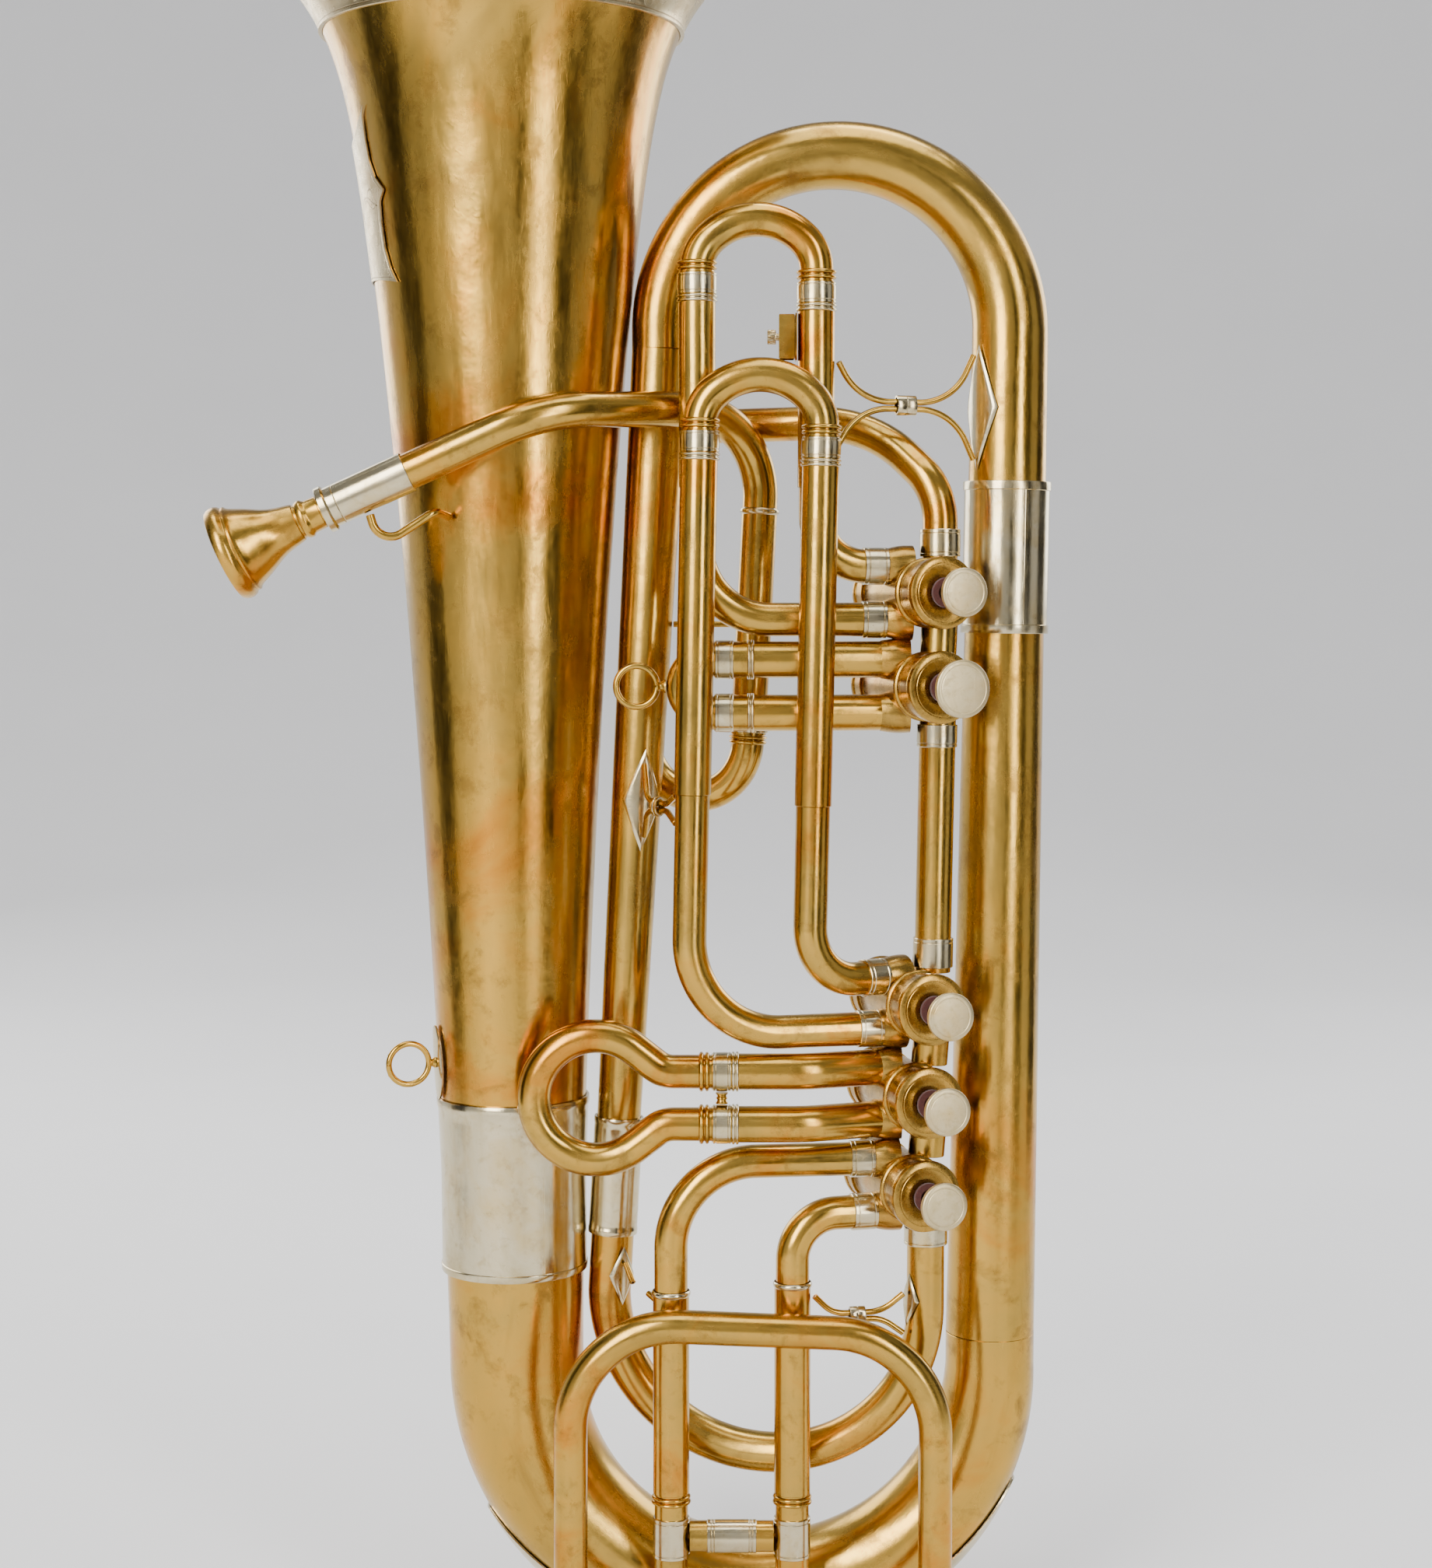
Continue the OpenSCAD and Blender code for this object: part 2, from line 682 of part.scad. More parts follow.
// Lean of the main tuning slide's legs
tuning_up = unit([5.2, 0, 103]);
step_z = 527;
function tuning_at(back, z) =
  (back ? [tuning_back_x, tuning_back_y, step_z] : [tuning_x, tuning_y, step_z])
    + tuning_up * (z - step_z) / tuning_up[2];
shank_d = 12.4;
receiver_l = 36;

module mouthpiece_frame() {
  translate(lead_start)
    rotate([0, 90 - lead_slope, 0])
      children();
}

module mouthpiece() {
  rim = -receiver_l - 47;
  cup_r = rim_d / 2 - 5;
  bore = 7.4;
  color(brass)
    mouthpiece_frame()
      rotate_extrude()
        polygon([[cup_r, rim + 2.2], [cup_r + 1.5, rim + 0.4], [rim_d / 2 - 2.2, rim], [rim_d / 2 - 0.4, rim + 1.6],
          [rim_d / 2, rim + 4], [rim_d / 2 - 1, rim + 6.2], [rim_d / 2 - 2.6, rim + 7.2],
          [rim_d / 2 - 4.4, rim + cup_depth * 0.45], [rim_d / 2 - 9, rim + cup_depth * 0.8],
          [8.6, rim + cup_depth + 6], [7.6, rim + cup_depth + 10],
          [8.6, rim + cup_depth + 12], [7.4, rim + cup_depth + 14], [7.2, -receiver_l - 1],
          [shank_d / 2, -receiver_l - 1], [shank_d / 2, -12], [bore / 2 + 1.2, -12],
          [bore / 2, rim + cup_depth + 4], [bore / 2 + 3, rim + cup_depth - 2],
          [cup_r - 5, rim + cup_depth * 0.7], [cup_r - 1.2, rim + cup_depth * 0.35]]);
}

module mouthpiece_receiver() {
  r = lead_od / 2 + 0.9;
  color(nickel)
    mouthpiece_frame()
      rotate_extrude()
        polygon([[shank_d / 2 + 0.05, -receiver_l], [r + 1.4, -receiver_l], [r + 1.4, -receiver_l + 3],
          [r, -receiver_l + 4], [r, 4], [lead_od / 2 + gap, 4], [lead_od / 2 + gap, 0],
          [lead_od / 2 - 1, 0], [lead_od / 2 - 1, -10], [shank_d / 2 + 0.05, -10]]);
}

lead_bore = lead_od - 2 * tube_wall;
lead_corner = tuning_at(false, 573);
lead_corner_r = 38;
module leadpipe() {
  color(brass) {
    pipe([lead_start, lead_knee, lead_corner, tuning_at(false, step_z)],
      [0, 60, lead_corner_r, 0], lead_od, lead_bore);
    straight(tuning_at(false, step_z - seam), tuning_at(false, tuning_mouth), leg_od, leg_bore);
  }
}

// Curved stay from the receiver to the front of the bell
stay_h = 297;
stay_angle = 244.5;
stay_foot = bell_base + bell_axis * stay_h
  + (bell_r(stay_h) + 2.6) * [cos(stay_angle), sin(stay_angle), 0];
module leadpipe_stay() {
  top = lead_start + lead_dir * -14 + [0, 0, -lead_od / 2 - 3];
  color(brass)
    pipe([top, top + [4, 0, -14], stay_foot + [-5, -9, 2], stay_foot], [0, 8, 5, 0], rod_d + 1, 0);
}

feed_z = 566;
feed_knee = [line_x(0) - 30, -7.5, feed_z + 0.5];
feed_corner = [line_x(0), -valve_depth, feed_z - 31];
module feed_tube() {
  back_top = tuning_at(true, feed_z);
  color(brass)
    difference() {
      union() {
        straight(tuning_at(true, tuning_mouth), tuning_at(true, step_z - seam), leg_od, leg_bore);
        pipe([tuning_at(true, step_z), back_top, feed_knee, feed_corner,
            [line_x(0), -valve_depth, valve_z[0] + 1]],
          [0, 24, 66, 31, 0], tube_od + 0.5, tube_bore);
      }
      casing_space(0);
    }
}

module tuning_slide() {
  right = tuning_at(false, tuning_centre);
  left = tuning_at(true, tuning_centre);
  r = norm(right - left) / 2;
  up = tuning_up;
  color(brass) {
    pipe([right + up * tuning_grip, right - up * r, left - up * r, left + up * tuning_grip],
      [0, r - 0.001, r - 0.001, 0], tube_od, tube_bore);
    for (p = [right, left])
      collar(p + up * (tuning_mouth - tuning_centre - 2.5), up, leg_od + 1.6, leg_bore, 4);
  }
}

// Nickel ferrules on the tubes that carry the valves
module tube_ferrules() {
  up = [0, 0, 1];
  d = leg_od + 2 * gap + 2 * ferrule_rise;
  bore = leg_od + 2 * gap;
  function on_line(z, i, j) =
    [line_x(i) + (line_x(j) - line_x(i)) * (valve_z[i] - z) / (valve_z[i] - valve_z[j]), -valve_depth, z];
  color(nickel) {
    collar([line_x(0), -valve_depth, valve_z[0] + 22], up, d, tube_od + 0.6, 12);
    collar(on_line(valve_z[1] - 22, 1, 2), on_line(400, 1, 2) - on_line(350, 1, 2), d, bore + 0.05, 10);
    collar(on_line(valve_z[2] + 22, 1, 2), on_line(400, 1, 2) - on_line(350, 1, 2), d, bore + 0.05, 13);
    collar([line_x(4), -valve_depth, bow_in_z + 3], up, d + 1.6, leg_od + 1, 8);
    for (back = [false, true]) {
      collar(tuning_at(back, step_z), tuning_up, d, bore + 0.1, 3);
      collar(tuning_at(back, tuning_mouth + 3), tuning_up, d, bore, 4);
    }
    difference() {
      for (i = [0, 2, 4], side = [1, -1]) {
        t = unit(loop_corner(i, side) - port(i, side));
        collar(port(i, side) + t * (branch_ferrule / 2 + 10.5), t, tube_od + 1.5, tube_od + 2 * gap, branch_ferrule);
      }
      for (i = [0, 2, 4])
        casing_space(i);
    }
  }
}

// ---------- valve loops ----------
function port(i, side) = [valve_x(i) - 3, -valve_depth, valve_z[i] + side * port_rise];

// Length of the nickel ferrules where the loops leave the valves
branch_ferrule = 11;

// Corner where the branch from a valve turns into its loop's leg
function loop_corner(i, side) =
  i == 0 ? [side > 0 ? loop1_near : loop1_far, loop1_y, valve_z[0] + side * port_rise]
  : i == 2 ? [loop3_foot(side) + loop3_slant * (valve_z[2] + side * port_rise - loop3_foot_z), loop3_y,
    valve_z[2] + side * port_rise]
  : [side > 0 ? loop5_far : loop5_near, loop5_y, valve_z[4] + side * port_rise];

// First loop: legs stand up beside the valve
loop1_near = valve_x(0) - 45;
loop1_far = valve_x(0) - 97;
loop1_y = -rear_loop_depth;
loop1_near_mouth = loop1_top - 26.8;
loop1_far_mouth = loop1_top - 22.8;
loop1_step = upper_valve_z + 46;
loop1_near_at = [loop1_near, loop1_y, loop1_near_mouth];
loop1_far_at = [loop1_far, loop1_y, loop1_far_mouth];
module loop_1_legs() {
  color(brass)
    difference() {
      union() {
        for (leg = [[loop1_near_at, 1, 22], [loop1_far_at, -1, 32]]) {
          pipe([port(0, leg[1]), loop_corner(0, leg[1]), [leg[0][0], loop1_y, loop1_step]],
            [0, leg[2], 0], tube_od, tube_bore);
          straight([leg[0][0], loop1_y, loop1_step + seam], leg[0], leg_od, leg_bore);
        }
      }
      casing_space(0);
    }
}

// A crook with two parallel legs: a and b are the leg mouths, up its pull direction, crown the
// level of its middle along up, and height the rise from the end of the legs to the crown
module crook(a, b, up, grip, crown, height) {
  foot_a = a - up * (a * up);
  foot_b = b - up * (b * up);
  half = norm(foot_b - foot_a) / 2;
  k = tan(22.5);
  r = (height - k * half) / (k + k * k);
  knee = crown - height + k * r;
  pipe([a - up * grip, foot_a + up * knee, (foot_a + foot_b) / 2 + up * (knee + half), foot_b + up * knee,
      b - up * grip],
    [0, r, half * sqrt(2) - k * r - 0.001, r, 0], tube_od, tube_bore);
  for (p = [a, b])
    collar(p + up * 2.9, up, leg_od + 1.6, tube_od + 2 * gap, 4.4);
}

loop_crook_height = 21.6;
module loop_1_crook() {
  color(brass)
    crook(loop1_near_at, loop1_far_at, [0, 0, 1], loop1_grip, loop1_top, loop_crook_height);
}

// Second slide: short legs to the left, with a pull ring
slide2_mouth = valve_x(1) - 89;
function slide2_at(side) = [slide2_mouth, -rear_loop_depth, valve_z[1] + side * port_rise];
module slide_2_legs() {
  color(brass)
    difference() {
      for (side = [1, -1])
        pipe([port(1, side), slide2_at(side) + [slide2_grip + 6, 0, 0], slide2_at(side)], [0, 50, 0], leg_od, leg_bore);
      casing_space(1);
    }
}

module slide_2_crook() {
  color(brass)
    crook(slide2_at(1), slide2_at(-1), [-1, 0, 0], slide2_grip, 2 + port_rise - slide2_mouth, port_rise);
}

// Third loop: long legs that stand in front of the first loop
loop3_y = -front_loop_depth;
loop3_lean = 4;
loop3_span = 52.5;
loop3_foot_z = lower_valve_z + 47;
loop3_slant = loop3_lean / (loop3_top - 30 - loop3_foot_z);
loop3_up = unit([loop3_slant, 0, 1]);
function loop3_foot(side) = valve_x(2) - 45 - (side > 0 ? 0 : loop3_span);
function loop3_on(side, z) = [loop3_foot(side) + loop3_slant * (z - loop3_foot_z), loop3_y, z];
function loop3_mouth(side) = loop3_top - (side > 0 ? 26.4 : 23.6);
function loop3_step(side) = lower_valve_z + (side > 0 ? 89 : 94);
module loop_3_legs() {
  color(brass)
    difference() {
      union() {
        for (leg = [[1, 24], [-1, 42]]) {
          step = loop3_on(leg[0], loop3_step(leg[0]));
          pipe([port(2, leg[0]), loop_corner(2, leg[0]), step], [0, leg[1], 0], tube_od, tube_bore);
          straight(step + loop3_up * seam, loop3_on(leg[0], loop3_mouth(leg[0])), leg_od, leg_bore);
        }
      }
      casing_space(2);
    }
}

module loop_3_crook() {
  a = loop3_on(1, loop3_mouth(1));
  b = loop3_on(-1, loop3_mouth(-1));
  level = ((a + b) / 2 - [0, 0, (a[2] + b[2]) / 2 - loop3_top]) * loop3_up;
  color(brass)
    crook(a, b, loop3_up, loop3_grip, level, loop_crook_height);
}

// Fourth slide: a round crook to the left of two short legs
slide4_y = -46;
slide4_mouth = valve_x(3) - 87;
slide4_rise = 0.5;
function slide4_at(side) = [slide4_mouth, slide4_y, valve_z[3] + slide4_rise + side * port_rise];
function slide4_knee(side) = slide4_at(side) + [slide4_grip + 9, 0, 0];
module slide_4_legs() {
  color(brass)
    difference() {
      for (side = [1, -1])
        pipe([port(3, side), slide4_knee(side), slide4_at(side)], [0, 30, 0], leg_od, leg_bore);
      casing_space(3);
    }
}

crook4_centre = [slide4_mouth - 51, valve_z[3] + slide4_rise];
crook4_sweep = 38;
module slide_4_crook() {
  r = round_crook_r;
  n = 5;
  loop_out = arc_corners(crook4_centre, slide4_y, r, 90 - crook4_sweep, 270 + crook4_sweep, n);
  exit_up = [crook4_centre[0] + r * cos(90 - crook4_sweep), slide4_y, crook4_centre[1] + r * sin(90 - crook4_sweep)];
  slope = [cos(-crook4_sweep), 0, sin(-crook4_sweep)];
  meet = (exit_up[2] - slide4_at(1)[2]) / -slope[2];
  knee_up = exit_up + slope * meet;
  knee_low = [knee_up[0], slide4_y, 2 * crook4_centre[1] - knee_up[2]];
  points = concat([slide4_at(1) + [slide4_grip, 0, 0], knee_up], loop_out, [knee_low, slide4_at(-1) + [slide4_grip, 0, 0]]);
  color(brass) {
    pipe(points, concat([0, 13], [for (k = [1 : n]) r], [13, 0]), tube_od, tube_bore);
    for (side = [1, -1])
      collar(slide4_at(side) - [3.4, 0, 0], [1, 0, 0], leg_od + 1.6, tube_od + 2 * gap, 5);
  }
}

// Fifth loop: legs hang down, and the crook folds up again in an arch
loop5_y = -42;
loop5_near = valve_x(4) - 50;
loop5_far = valve_x(4) - 104;
loop5_mouth = 89;
function loop5_step(side) = side > 0 ? 179.5 : 183.5;
module loop_5_legs() {
  color(brass)
    difference() {
      union() {
        for (leg = [[loop5_near, -1, 20], [loop5_far, 1, 38]]) {
          step = loop5_step(leg[1]);
          pipe([port(4, leg[1]), loop_corner(4, leg[1]), [leg[0], loop5_y, step]], [0, leg[2], 0], tube_od, tube_bore);
          straight([leg[0], loop5_y, step - seam], [leg[0], loop5_y, loop5_mouth], leg_od, leg_bore);
        }
      }
      casing_space(4);
    }
}

arch_y = -60;
arch_left = loop5_far - 44;
arch_right = loop5_near + 62.5;
arch_top = 171;
arch_slope = 6.5;
arch_corner_r = 46;
fold_z = 54;
cross_z = 69;
module loop_5_crook() {
  near_fold = norm([arch_right - loop5_near, arch_y - loop5_y]) / 2;
  far_fold = norm([loop5_far - arch_left, arch_y - loop5_y]) / 2;
  color(brass) {
    pipe([
        [loop5_near, loop5_y, loop5_mouth + loop5_grip], [loop5_near, loop5_y, fold_z - near_fold],
        [arch_right, arch_y, fold_z - near_fold], [arch_right, arch_y, arch_top - arch_slope],
        [arch_left, arch_y, arch_top], [arch_left, arch_y, fold_z - far_fold],
        [loop5_far, loop5_y, fold_z - far_fold], [loop5_far, loop5_y, loop5_mouth + loop5_grip]],
      [0, near_fold - 0.001, near_fold - 0.001, arch_corner_r, arch_corner_r, far_fold - 0.001, far_fold - 0.001, 0],
      tube_od, tube_bore);
    for (x = [loop5_near, loop5_far])
      collar([x, loop5_y, loop5_mouth - 2.9], [0, 0, 1], leg_od + 1.6, tube_od + 2 * gap, 4.4);
    straight([loop5_far + sleeve_d / 2 + gap, loop5_y, cross_z], [loop5_near - sleeve_d / 2 - gap, loop5_y, cross_z],
      cross_d, 0);
  }
}

// Nickel sleeves on the cross tube and on the legs that it joins
cross_d = tube_od - 1;
sleeve_d = tube_od + 1.5;
module loop_5_sleeves() {
  middle = (loop5_near + loop5_far) / 2;
  color(nickel) {
    for (x = [loop5_near, loop5_far])
      collar([x, loop5_y, cross_z], [0, 0, 1], sleeve_d, tube_od + 2 * gap, 18);
    collar([middle, loop5_y, cross_z], [1, 0, 0], cross_d + 1, cross_d + 2 * gap, 22);
  }
}

// Fixed rings and nickel ferrules on the legs of the valve loops
module loop_ferrules() {
  up = [0, 0, 1];
  left = [1, 0, 0];
  bore = leg_od + 2 * gap;
  d = bore + 2 * ferrule_rise;
  color(nickel) {
    for (p = [loop1_near_at, loop1_far_at]) {
      collar(p - [0, 0, 5], up, d - 0.8, bore, 9);
      collar(p - [0, 0, 11.4], up, d, bore, 3.4);
    }
    for (side = [1, -1]) {
      collar(loop3_on(side, loop3_mouth(side)) - loop3_up * 5, loop3_up, d - 0.8, bore, 9);
      collar(loop3_on(side, loop3_mouth(side)) - loop3_up * 11.4, loop3_up, d, bore, 3.4);
      collar(slide2_at(side) + [4.4, 0, 0], left, d - 0.8, bore, 8);
      collar(slide2_at(side) + [16, 0, 0], left, d, bore, 3);
      collar(slide4_at(side) + [4.4, 0, 0], left, d - 0.8, bore, 8);
      collar(slide4_at(side) + [10.3, 0, 0], left, d, bore, 3.2);
      collar([side > 0 ? loop5_far : loop5_near, loop5_y, loop5_step(side)], up, d - 0.4, bore, 2.6);
    }
  }
}

// ---------- stays, rings and lyre socket ----------
foot_gap = 0.5;
foot_t = 0.9;
// A diamond foot on a tube of radius r through c along the axis, facing direction a (degrees)
module diamond_foot(c, axis, r, a, height, spread) {
  along(c, c + axis)
    rotate([0, 0, a])
      intersection() {
        difference() {
          cylinder(h = height, r = r + foot_gap + foot_t, center = true);
          cylinder(h = height + 1, r = r + foot_gap, center = true);
        }
        rotate([90, 0, 90])
          linear_extrude(r + 3)
            polygon([[0, height / 2], [spread / 2, 0], [0, -height / 2], [-spread / 2, 0]]);
      }
}

module stay_rod(a, b) {
  straight(a, b, rod_d, 0);
}

// Two rods that spread from the foot at a and from the tube at d, and run side by side at b and c
rod_pitch = 3;
module twin_rods(a, b, c, d, foot_spread, tube_spread, r1, r2) {
  up = [0, 0, 1];
  for (side = [1, -1])
    pipe([a + up * side * foot_spread, b + up * side * rod_pitch / 2, c + up * side * rod_pitch / 2,
      d + up * side * tube_spread], [0, r1, r2, 0], rod_d, 0);
}

// Oval clasp round the two rods where they run side by side
module rod_clasp(b, c, length) {
  v = c - b;
  translate((b + c) / 2)
    rotate([0, 0, atan2(v[1], v[0])])
      rotate([90, 0, 90])
        linear_extrude(length, center = true)
          difference() {
            scale([5.8, 8.8])
              circle(d = 1);
            scale([4.2, 7.4])
              circle(d = 1);
          }
}

// Upper right stay: riser to the first loop
upper_foot = [riser_x(572.5), 0, 572.5];
upper_foot_r = riser_r(upper_foot[2] - 28);
upper_angle = 215;
upper_a = upper_foot + (upper_foot_r + 3.4) * [cos(upper_angle), sin(upper_angle), 0];
upper_b = [upper_foot[0] - 27, -18, upper_foot[2]];
upper_c = [loop1_near + 19, -31, upper_foot[2]];
upper_d = [loop1_near + leg_od / 2 + 1.7, loop1_y, upper_foot[2]];
// Left stay: main tube to the third loop
left_foot = [main_x(397), 0, 397];
left_foot_r = main_r(left_foot[2] + 22);
left_angle = -74;
left_a = left_foot + (left_foot_r + 3.1) * [cos(left_angle), sin(left_angle), 0];
left_d = loop3_on(-1, left_foot[2] - 1.6) + (leg_od / 2 + 1.7) * [-0.75, 0.66, 0];
left_b = [left_a[0] + 1.8, left_a[1] - 11, left_foot[2] - 1.6];
left_c = [left_d[0] - 4, left_d[1] + 13, left_foot[2] - 1.6];
// Lower left stay: inner bow to the fifth loop
low_foot = [main_foot[0] - 1.35, 0, 179];
low_angle = -62;
low_a = low_foot + (main_base / 2 + 3.4) * [cos(low_angle), sin(low_angle), 0];
low_d = [loop5_far, loop5_y, 174.5] + (leg_od / 2 + 1.7) * [-0.72, 0.69, 0];
low_b = [low_a[0] + 3.5, low_a[1] - 7, 178];
low_c = [low_d[0] - 4, low_d[1] + 6, 176];
// Lower right stay: fifth loop to the tube under the fifth valve
right_foot = [line_x(4), -valve_depth, 174];
right_foot_r = leg_od / 2 + 0.6;
right_angle = 210;
right_a = right_foot + (right_foot_r + 3.2) * [cos(right_angle), sin(right_angle), -0.45];
right_b = [right_foot[0] - 20, -36, 168];
right_c = [loop5_near + 18, -40, 168];
right_d = [loop5_near + leg_od / 2 + 1.7, loop5_y, 168];
bar_z = 476;
module tube_stays() {
  color(brass) {
    twin_rods(upper_a, upper_b, upper_c, upper_d, 23, 18, 26, 26);
    twin_rods(left_a, left_b, left_c, left_d, 16, 6, 10, 9);
    stay_rod(low_a + [0, 0, 6], low_b);
    stay_rod(low_c + [0.6, -0.6, 0], low_d);
    twin_rods(right_a, right_b, right_c, right_d, 9, 10, 16, 14);
    stay_rod([main_x(bar_z) + main_r(bar_z) + 0.6, -1, bar_z], tuning_at(false, bar_z) - [leg_od / 2 + 0.4, 1, 0]);
    straight([slide4_at(1)[0] + 4.4, slide4_y, slide4_at(1)[2] - leg_od / 2 - 1.2],
      [slide4_at(1)[0] + 4.4, slide4_y, slide4_at(-1)[2] + leg_od / 2 + 1.2], 5.4, 0);
  }
}

// Diamond feet of the stays and the strap ring, and the clasps round the rods
module stay_feet() {
  color(nickel) {
    diamond_foot(upper_foot, riser_axis, upper_foot_r, upper_angle, 56, 21);
    diamond_foot(left_foot, main_axis, left_foot_r, left_angle, 46, 19);
    diamond_foot(low_foot, [1.6, 0, 53.7], main_base / 2 + 0.1, low_angle, 27, 13);
    diamond_foot(right_foot, [0.06, 0, 1], right_foot_r, right_angle, 24, 12);
    rod_clasp(upper_b, upper_c, 9);
    rod_clasp(left_b, left_c, 4);
    rod_clasp(right_b, right_c, 7);
    bell_frame()
      rotate([0, 0, ring_angle])
        intersection() {
          difference() {
            cylinder(h = 2 * ring_h, r = bell_r(ring_h) + 2.2);
            translate([0, 0, -1])
              cylinder(h = 2 * ring_h + 2, r = bell_r(ring_h) + 1);
          }
          translate([0, 0, ring_h])
            rotate([90, 0, 90])
              linear_extrude(bell_r(ring_h) + 4)
                scale([0.4, 1])
                  circle(d = 34);
        }
  }
}

ring_h = 52;
ring_angle = 200;
ring_r = 9.2;
ring_wire = 2.8;
module strap_ring() {
  color(brass)
    bell_frame()
      rotate([0, 0, ring_angle])
        translate([bell_r(ring_h) + 2.25, 0, ring_h]) {
          rotate([0, 90, 0])
            cylinder(h = 3, d = 5);
          translate([3 + ring_r, 0, 0])
            rotate([90, 0, 0])
              rotate_extrude()
                translate([ring_r, 0])
                  circle(d = ring_wire);
        }
}

pull_x = slide2_mouth - 2 - port_rise - tube_od / 2;
module pull_ring() {
  color(brass)
    translate([pull_x, -rear_loop_depth, valve_z[1]]) {
      translate([-4.4, 0, 0])
        rotate([0, 90, 0])
          cylinder(h = 4.3, d = 6);
      translate([-13, 0, 0])
        rotate([90, 0, 0])
          rotate_extrude()
            translate([9, 0])
              circle(d = 3);
    }
}

lyre_z = loop1_near_mouth - 24;
lyre_x = loop1_near - leg_od / 2 - 0.3;
lyre_d = 6.8;
lyre_hole = 4.6;
lyre_face = lyre_x - 1.2 - lyre_d;
module lyre_socket() {
  wall_t = (lyre_d - lyre_hole) / 2;
  color(brass)
    translate([lyre_face, loop1_y, lyre_z])
      difference() {
        union() {
          translate([lyre_d - 0.2, -5, -10.4])
            cube([1.4, 10, 20.8]);
          translate([0, -4.5, -9.6])
            cube([lyre_d, 9, 19.2]);
        }
        translate([lyre_d / 2, 0, -12])
          linear_extrude(24)
            square([lyre_hole, 6], center = true);
        translate([-1, 0, 0])
          rotate([0, 90, 0])
            cylinder(h = wall_t + 1.1, d = 3.2);
      }
}

module lyre_screw() {
  color(nickel)
    translate([lyre_face, loop1_y, lyre_z])
      rotate([0, -90, 0]) {
        translate([0, 0, -0.8])
          cylinder(h = 2.2, d = 3.1);
        translate([0, 0, 1.2])
          cylinder(h = 4, d = 6.4);
      }
}

bell();
bell_garland();
bell_shield();
bell_band();
bottom_bow();
bow_guard();
riser_tube();
riser_band();
top_bow();
main_tube();
main_band();
inner_bow();
mouthpiece();
mouthpiece_receiver();
leadpipe();
leadpipe_stay();
feed_tube();
tuning_slide();
valve_tubes();
tube_ferrules();
casing(0);  // casing_1
casing(1);  // casing_2
casing(2);  // casing_3
casing(3);  // casing_4
casing(4);  // casing_5
piston(0);  // piston_1
piston(1);  // piston_2
piston(2);  // piston_3
piston(3);  // piston_4
piston(4);  // piston_5
button(0);  // button_1
button(1);  // button_2
button(2);  // button_3
button(3);  // button_4
button(4);  // button_5
spring(0);  // spring_1
spring(1);  // spring_2
spring(2);  // spring_3
spring(3);  // spring_4
spring(4);  // spring_5
front_caps();
rear_caps();
cap_felts();
loop_1_legs();
slide_2_legs();
loop_3_legs();
slide_4_legs();
loop_5_legs();
loop_1_crook();
slide_2_crook();
loop_3_crook();
slide_4_crook();
loop_5_crook();
loop_5_sleeves();
loop_ferrules();
tube_stays();
stay_feet();
strap_ring();
pull_ring();
lyre_socket();
lyre_screw();
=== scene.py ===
import bpy
import json
import math
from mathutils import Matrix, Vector


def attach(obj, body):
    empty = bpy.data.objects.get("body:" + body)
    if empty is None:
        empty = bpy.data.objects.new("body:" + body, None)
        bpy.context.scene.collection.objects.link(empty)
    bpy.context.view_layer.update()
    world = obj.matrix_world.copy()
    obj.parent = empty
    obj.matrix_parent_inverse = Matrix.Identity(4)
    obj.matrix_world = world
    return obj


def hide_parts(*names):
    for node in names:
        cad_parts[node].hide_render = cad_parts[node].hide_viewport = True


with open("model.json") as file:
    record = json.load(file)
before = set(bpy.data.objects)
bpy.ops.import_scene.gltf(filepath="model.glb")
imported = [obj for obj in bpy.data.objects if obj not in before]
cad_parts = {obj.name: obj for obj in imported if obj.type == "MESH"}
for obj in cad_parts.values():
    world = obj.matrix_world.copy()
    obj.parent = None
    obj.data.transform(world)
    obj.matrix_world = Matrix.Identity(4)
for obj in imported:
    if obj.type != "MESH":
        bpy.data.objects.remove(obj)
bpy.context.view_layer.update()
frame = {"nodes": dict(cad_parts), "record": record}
MM = 0.001
UP = Vector((0, 0, 1))
BODY = {n: b for b, ns in frame["record"]["behaviour"]["bodies"].items() for n in ns}


# ---------- materials ----------
def add(nt, kind, inputs=None, **props):
    n = nt.nodes.new(kind)
    for k, v in props.items():
        setattr(n, k, v)
    for k, v in (inputs or {}).items():
        if isinstance(v, bpy.types.NodeSocket):
            nt.links.new(v, n.inputs[k])
        else:
            n.inputs[k].default_value = v
    return n


def ramp(nt, fac, stops):
    n = add(nt, "ShaderNodeValToRGB", {0: fac})
    cr = n.color_ramp
    while len(cr.elements) < len(stops):
        cr.elements.new(0.5)
    for e, (at, col) in zip(cr.elements, stops):
        e.position = at
        e.color = (*col, 1) if len(col) == 3 else col
    return n.outputs[0]


def spread(nt, value, a, b, lo, hi):
    return add(nt, "ShaderNodeMapRange", {0: value, 1: a, 2: b, 3: lo, 4: hi}).outputs[0]


def noise_of(nt, vec, scale, detail=4.0, rough=0.6, bend=0.0):
    return add(nt, "ShaderNodeTexNoise", {"Vector": vec, "Scale": scale, "Detail": detail,
        "Roughness": rough, "Distortion": bend}).outputs["Fac"]


def mixed(nt, fac, a, b, blend="MIX"):
    n = add(nt, "ShaderNodeMix", {0: fac, 6: a, 7: b}, data_type="RGBA", blend_type=blend)
    return n.outputs[2]


def calc(nt, op, *values):
    return add(nt, "ShaderNodeMath", dict(enumerate(values)), operation=op).outputs[0]


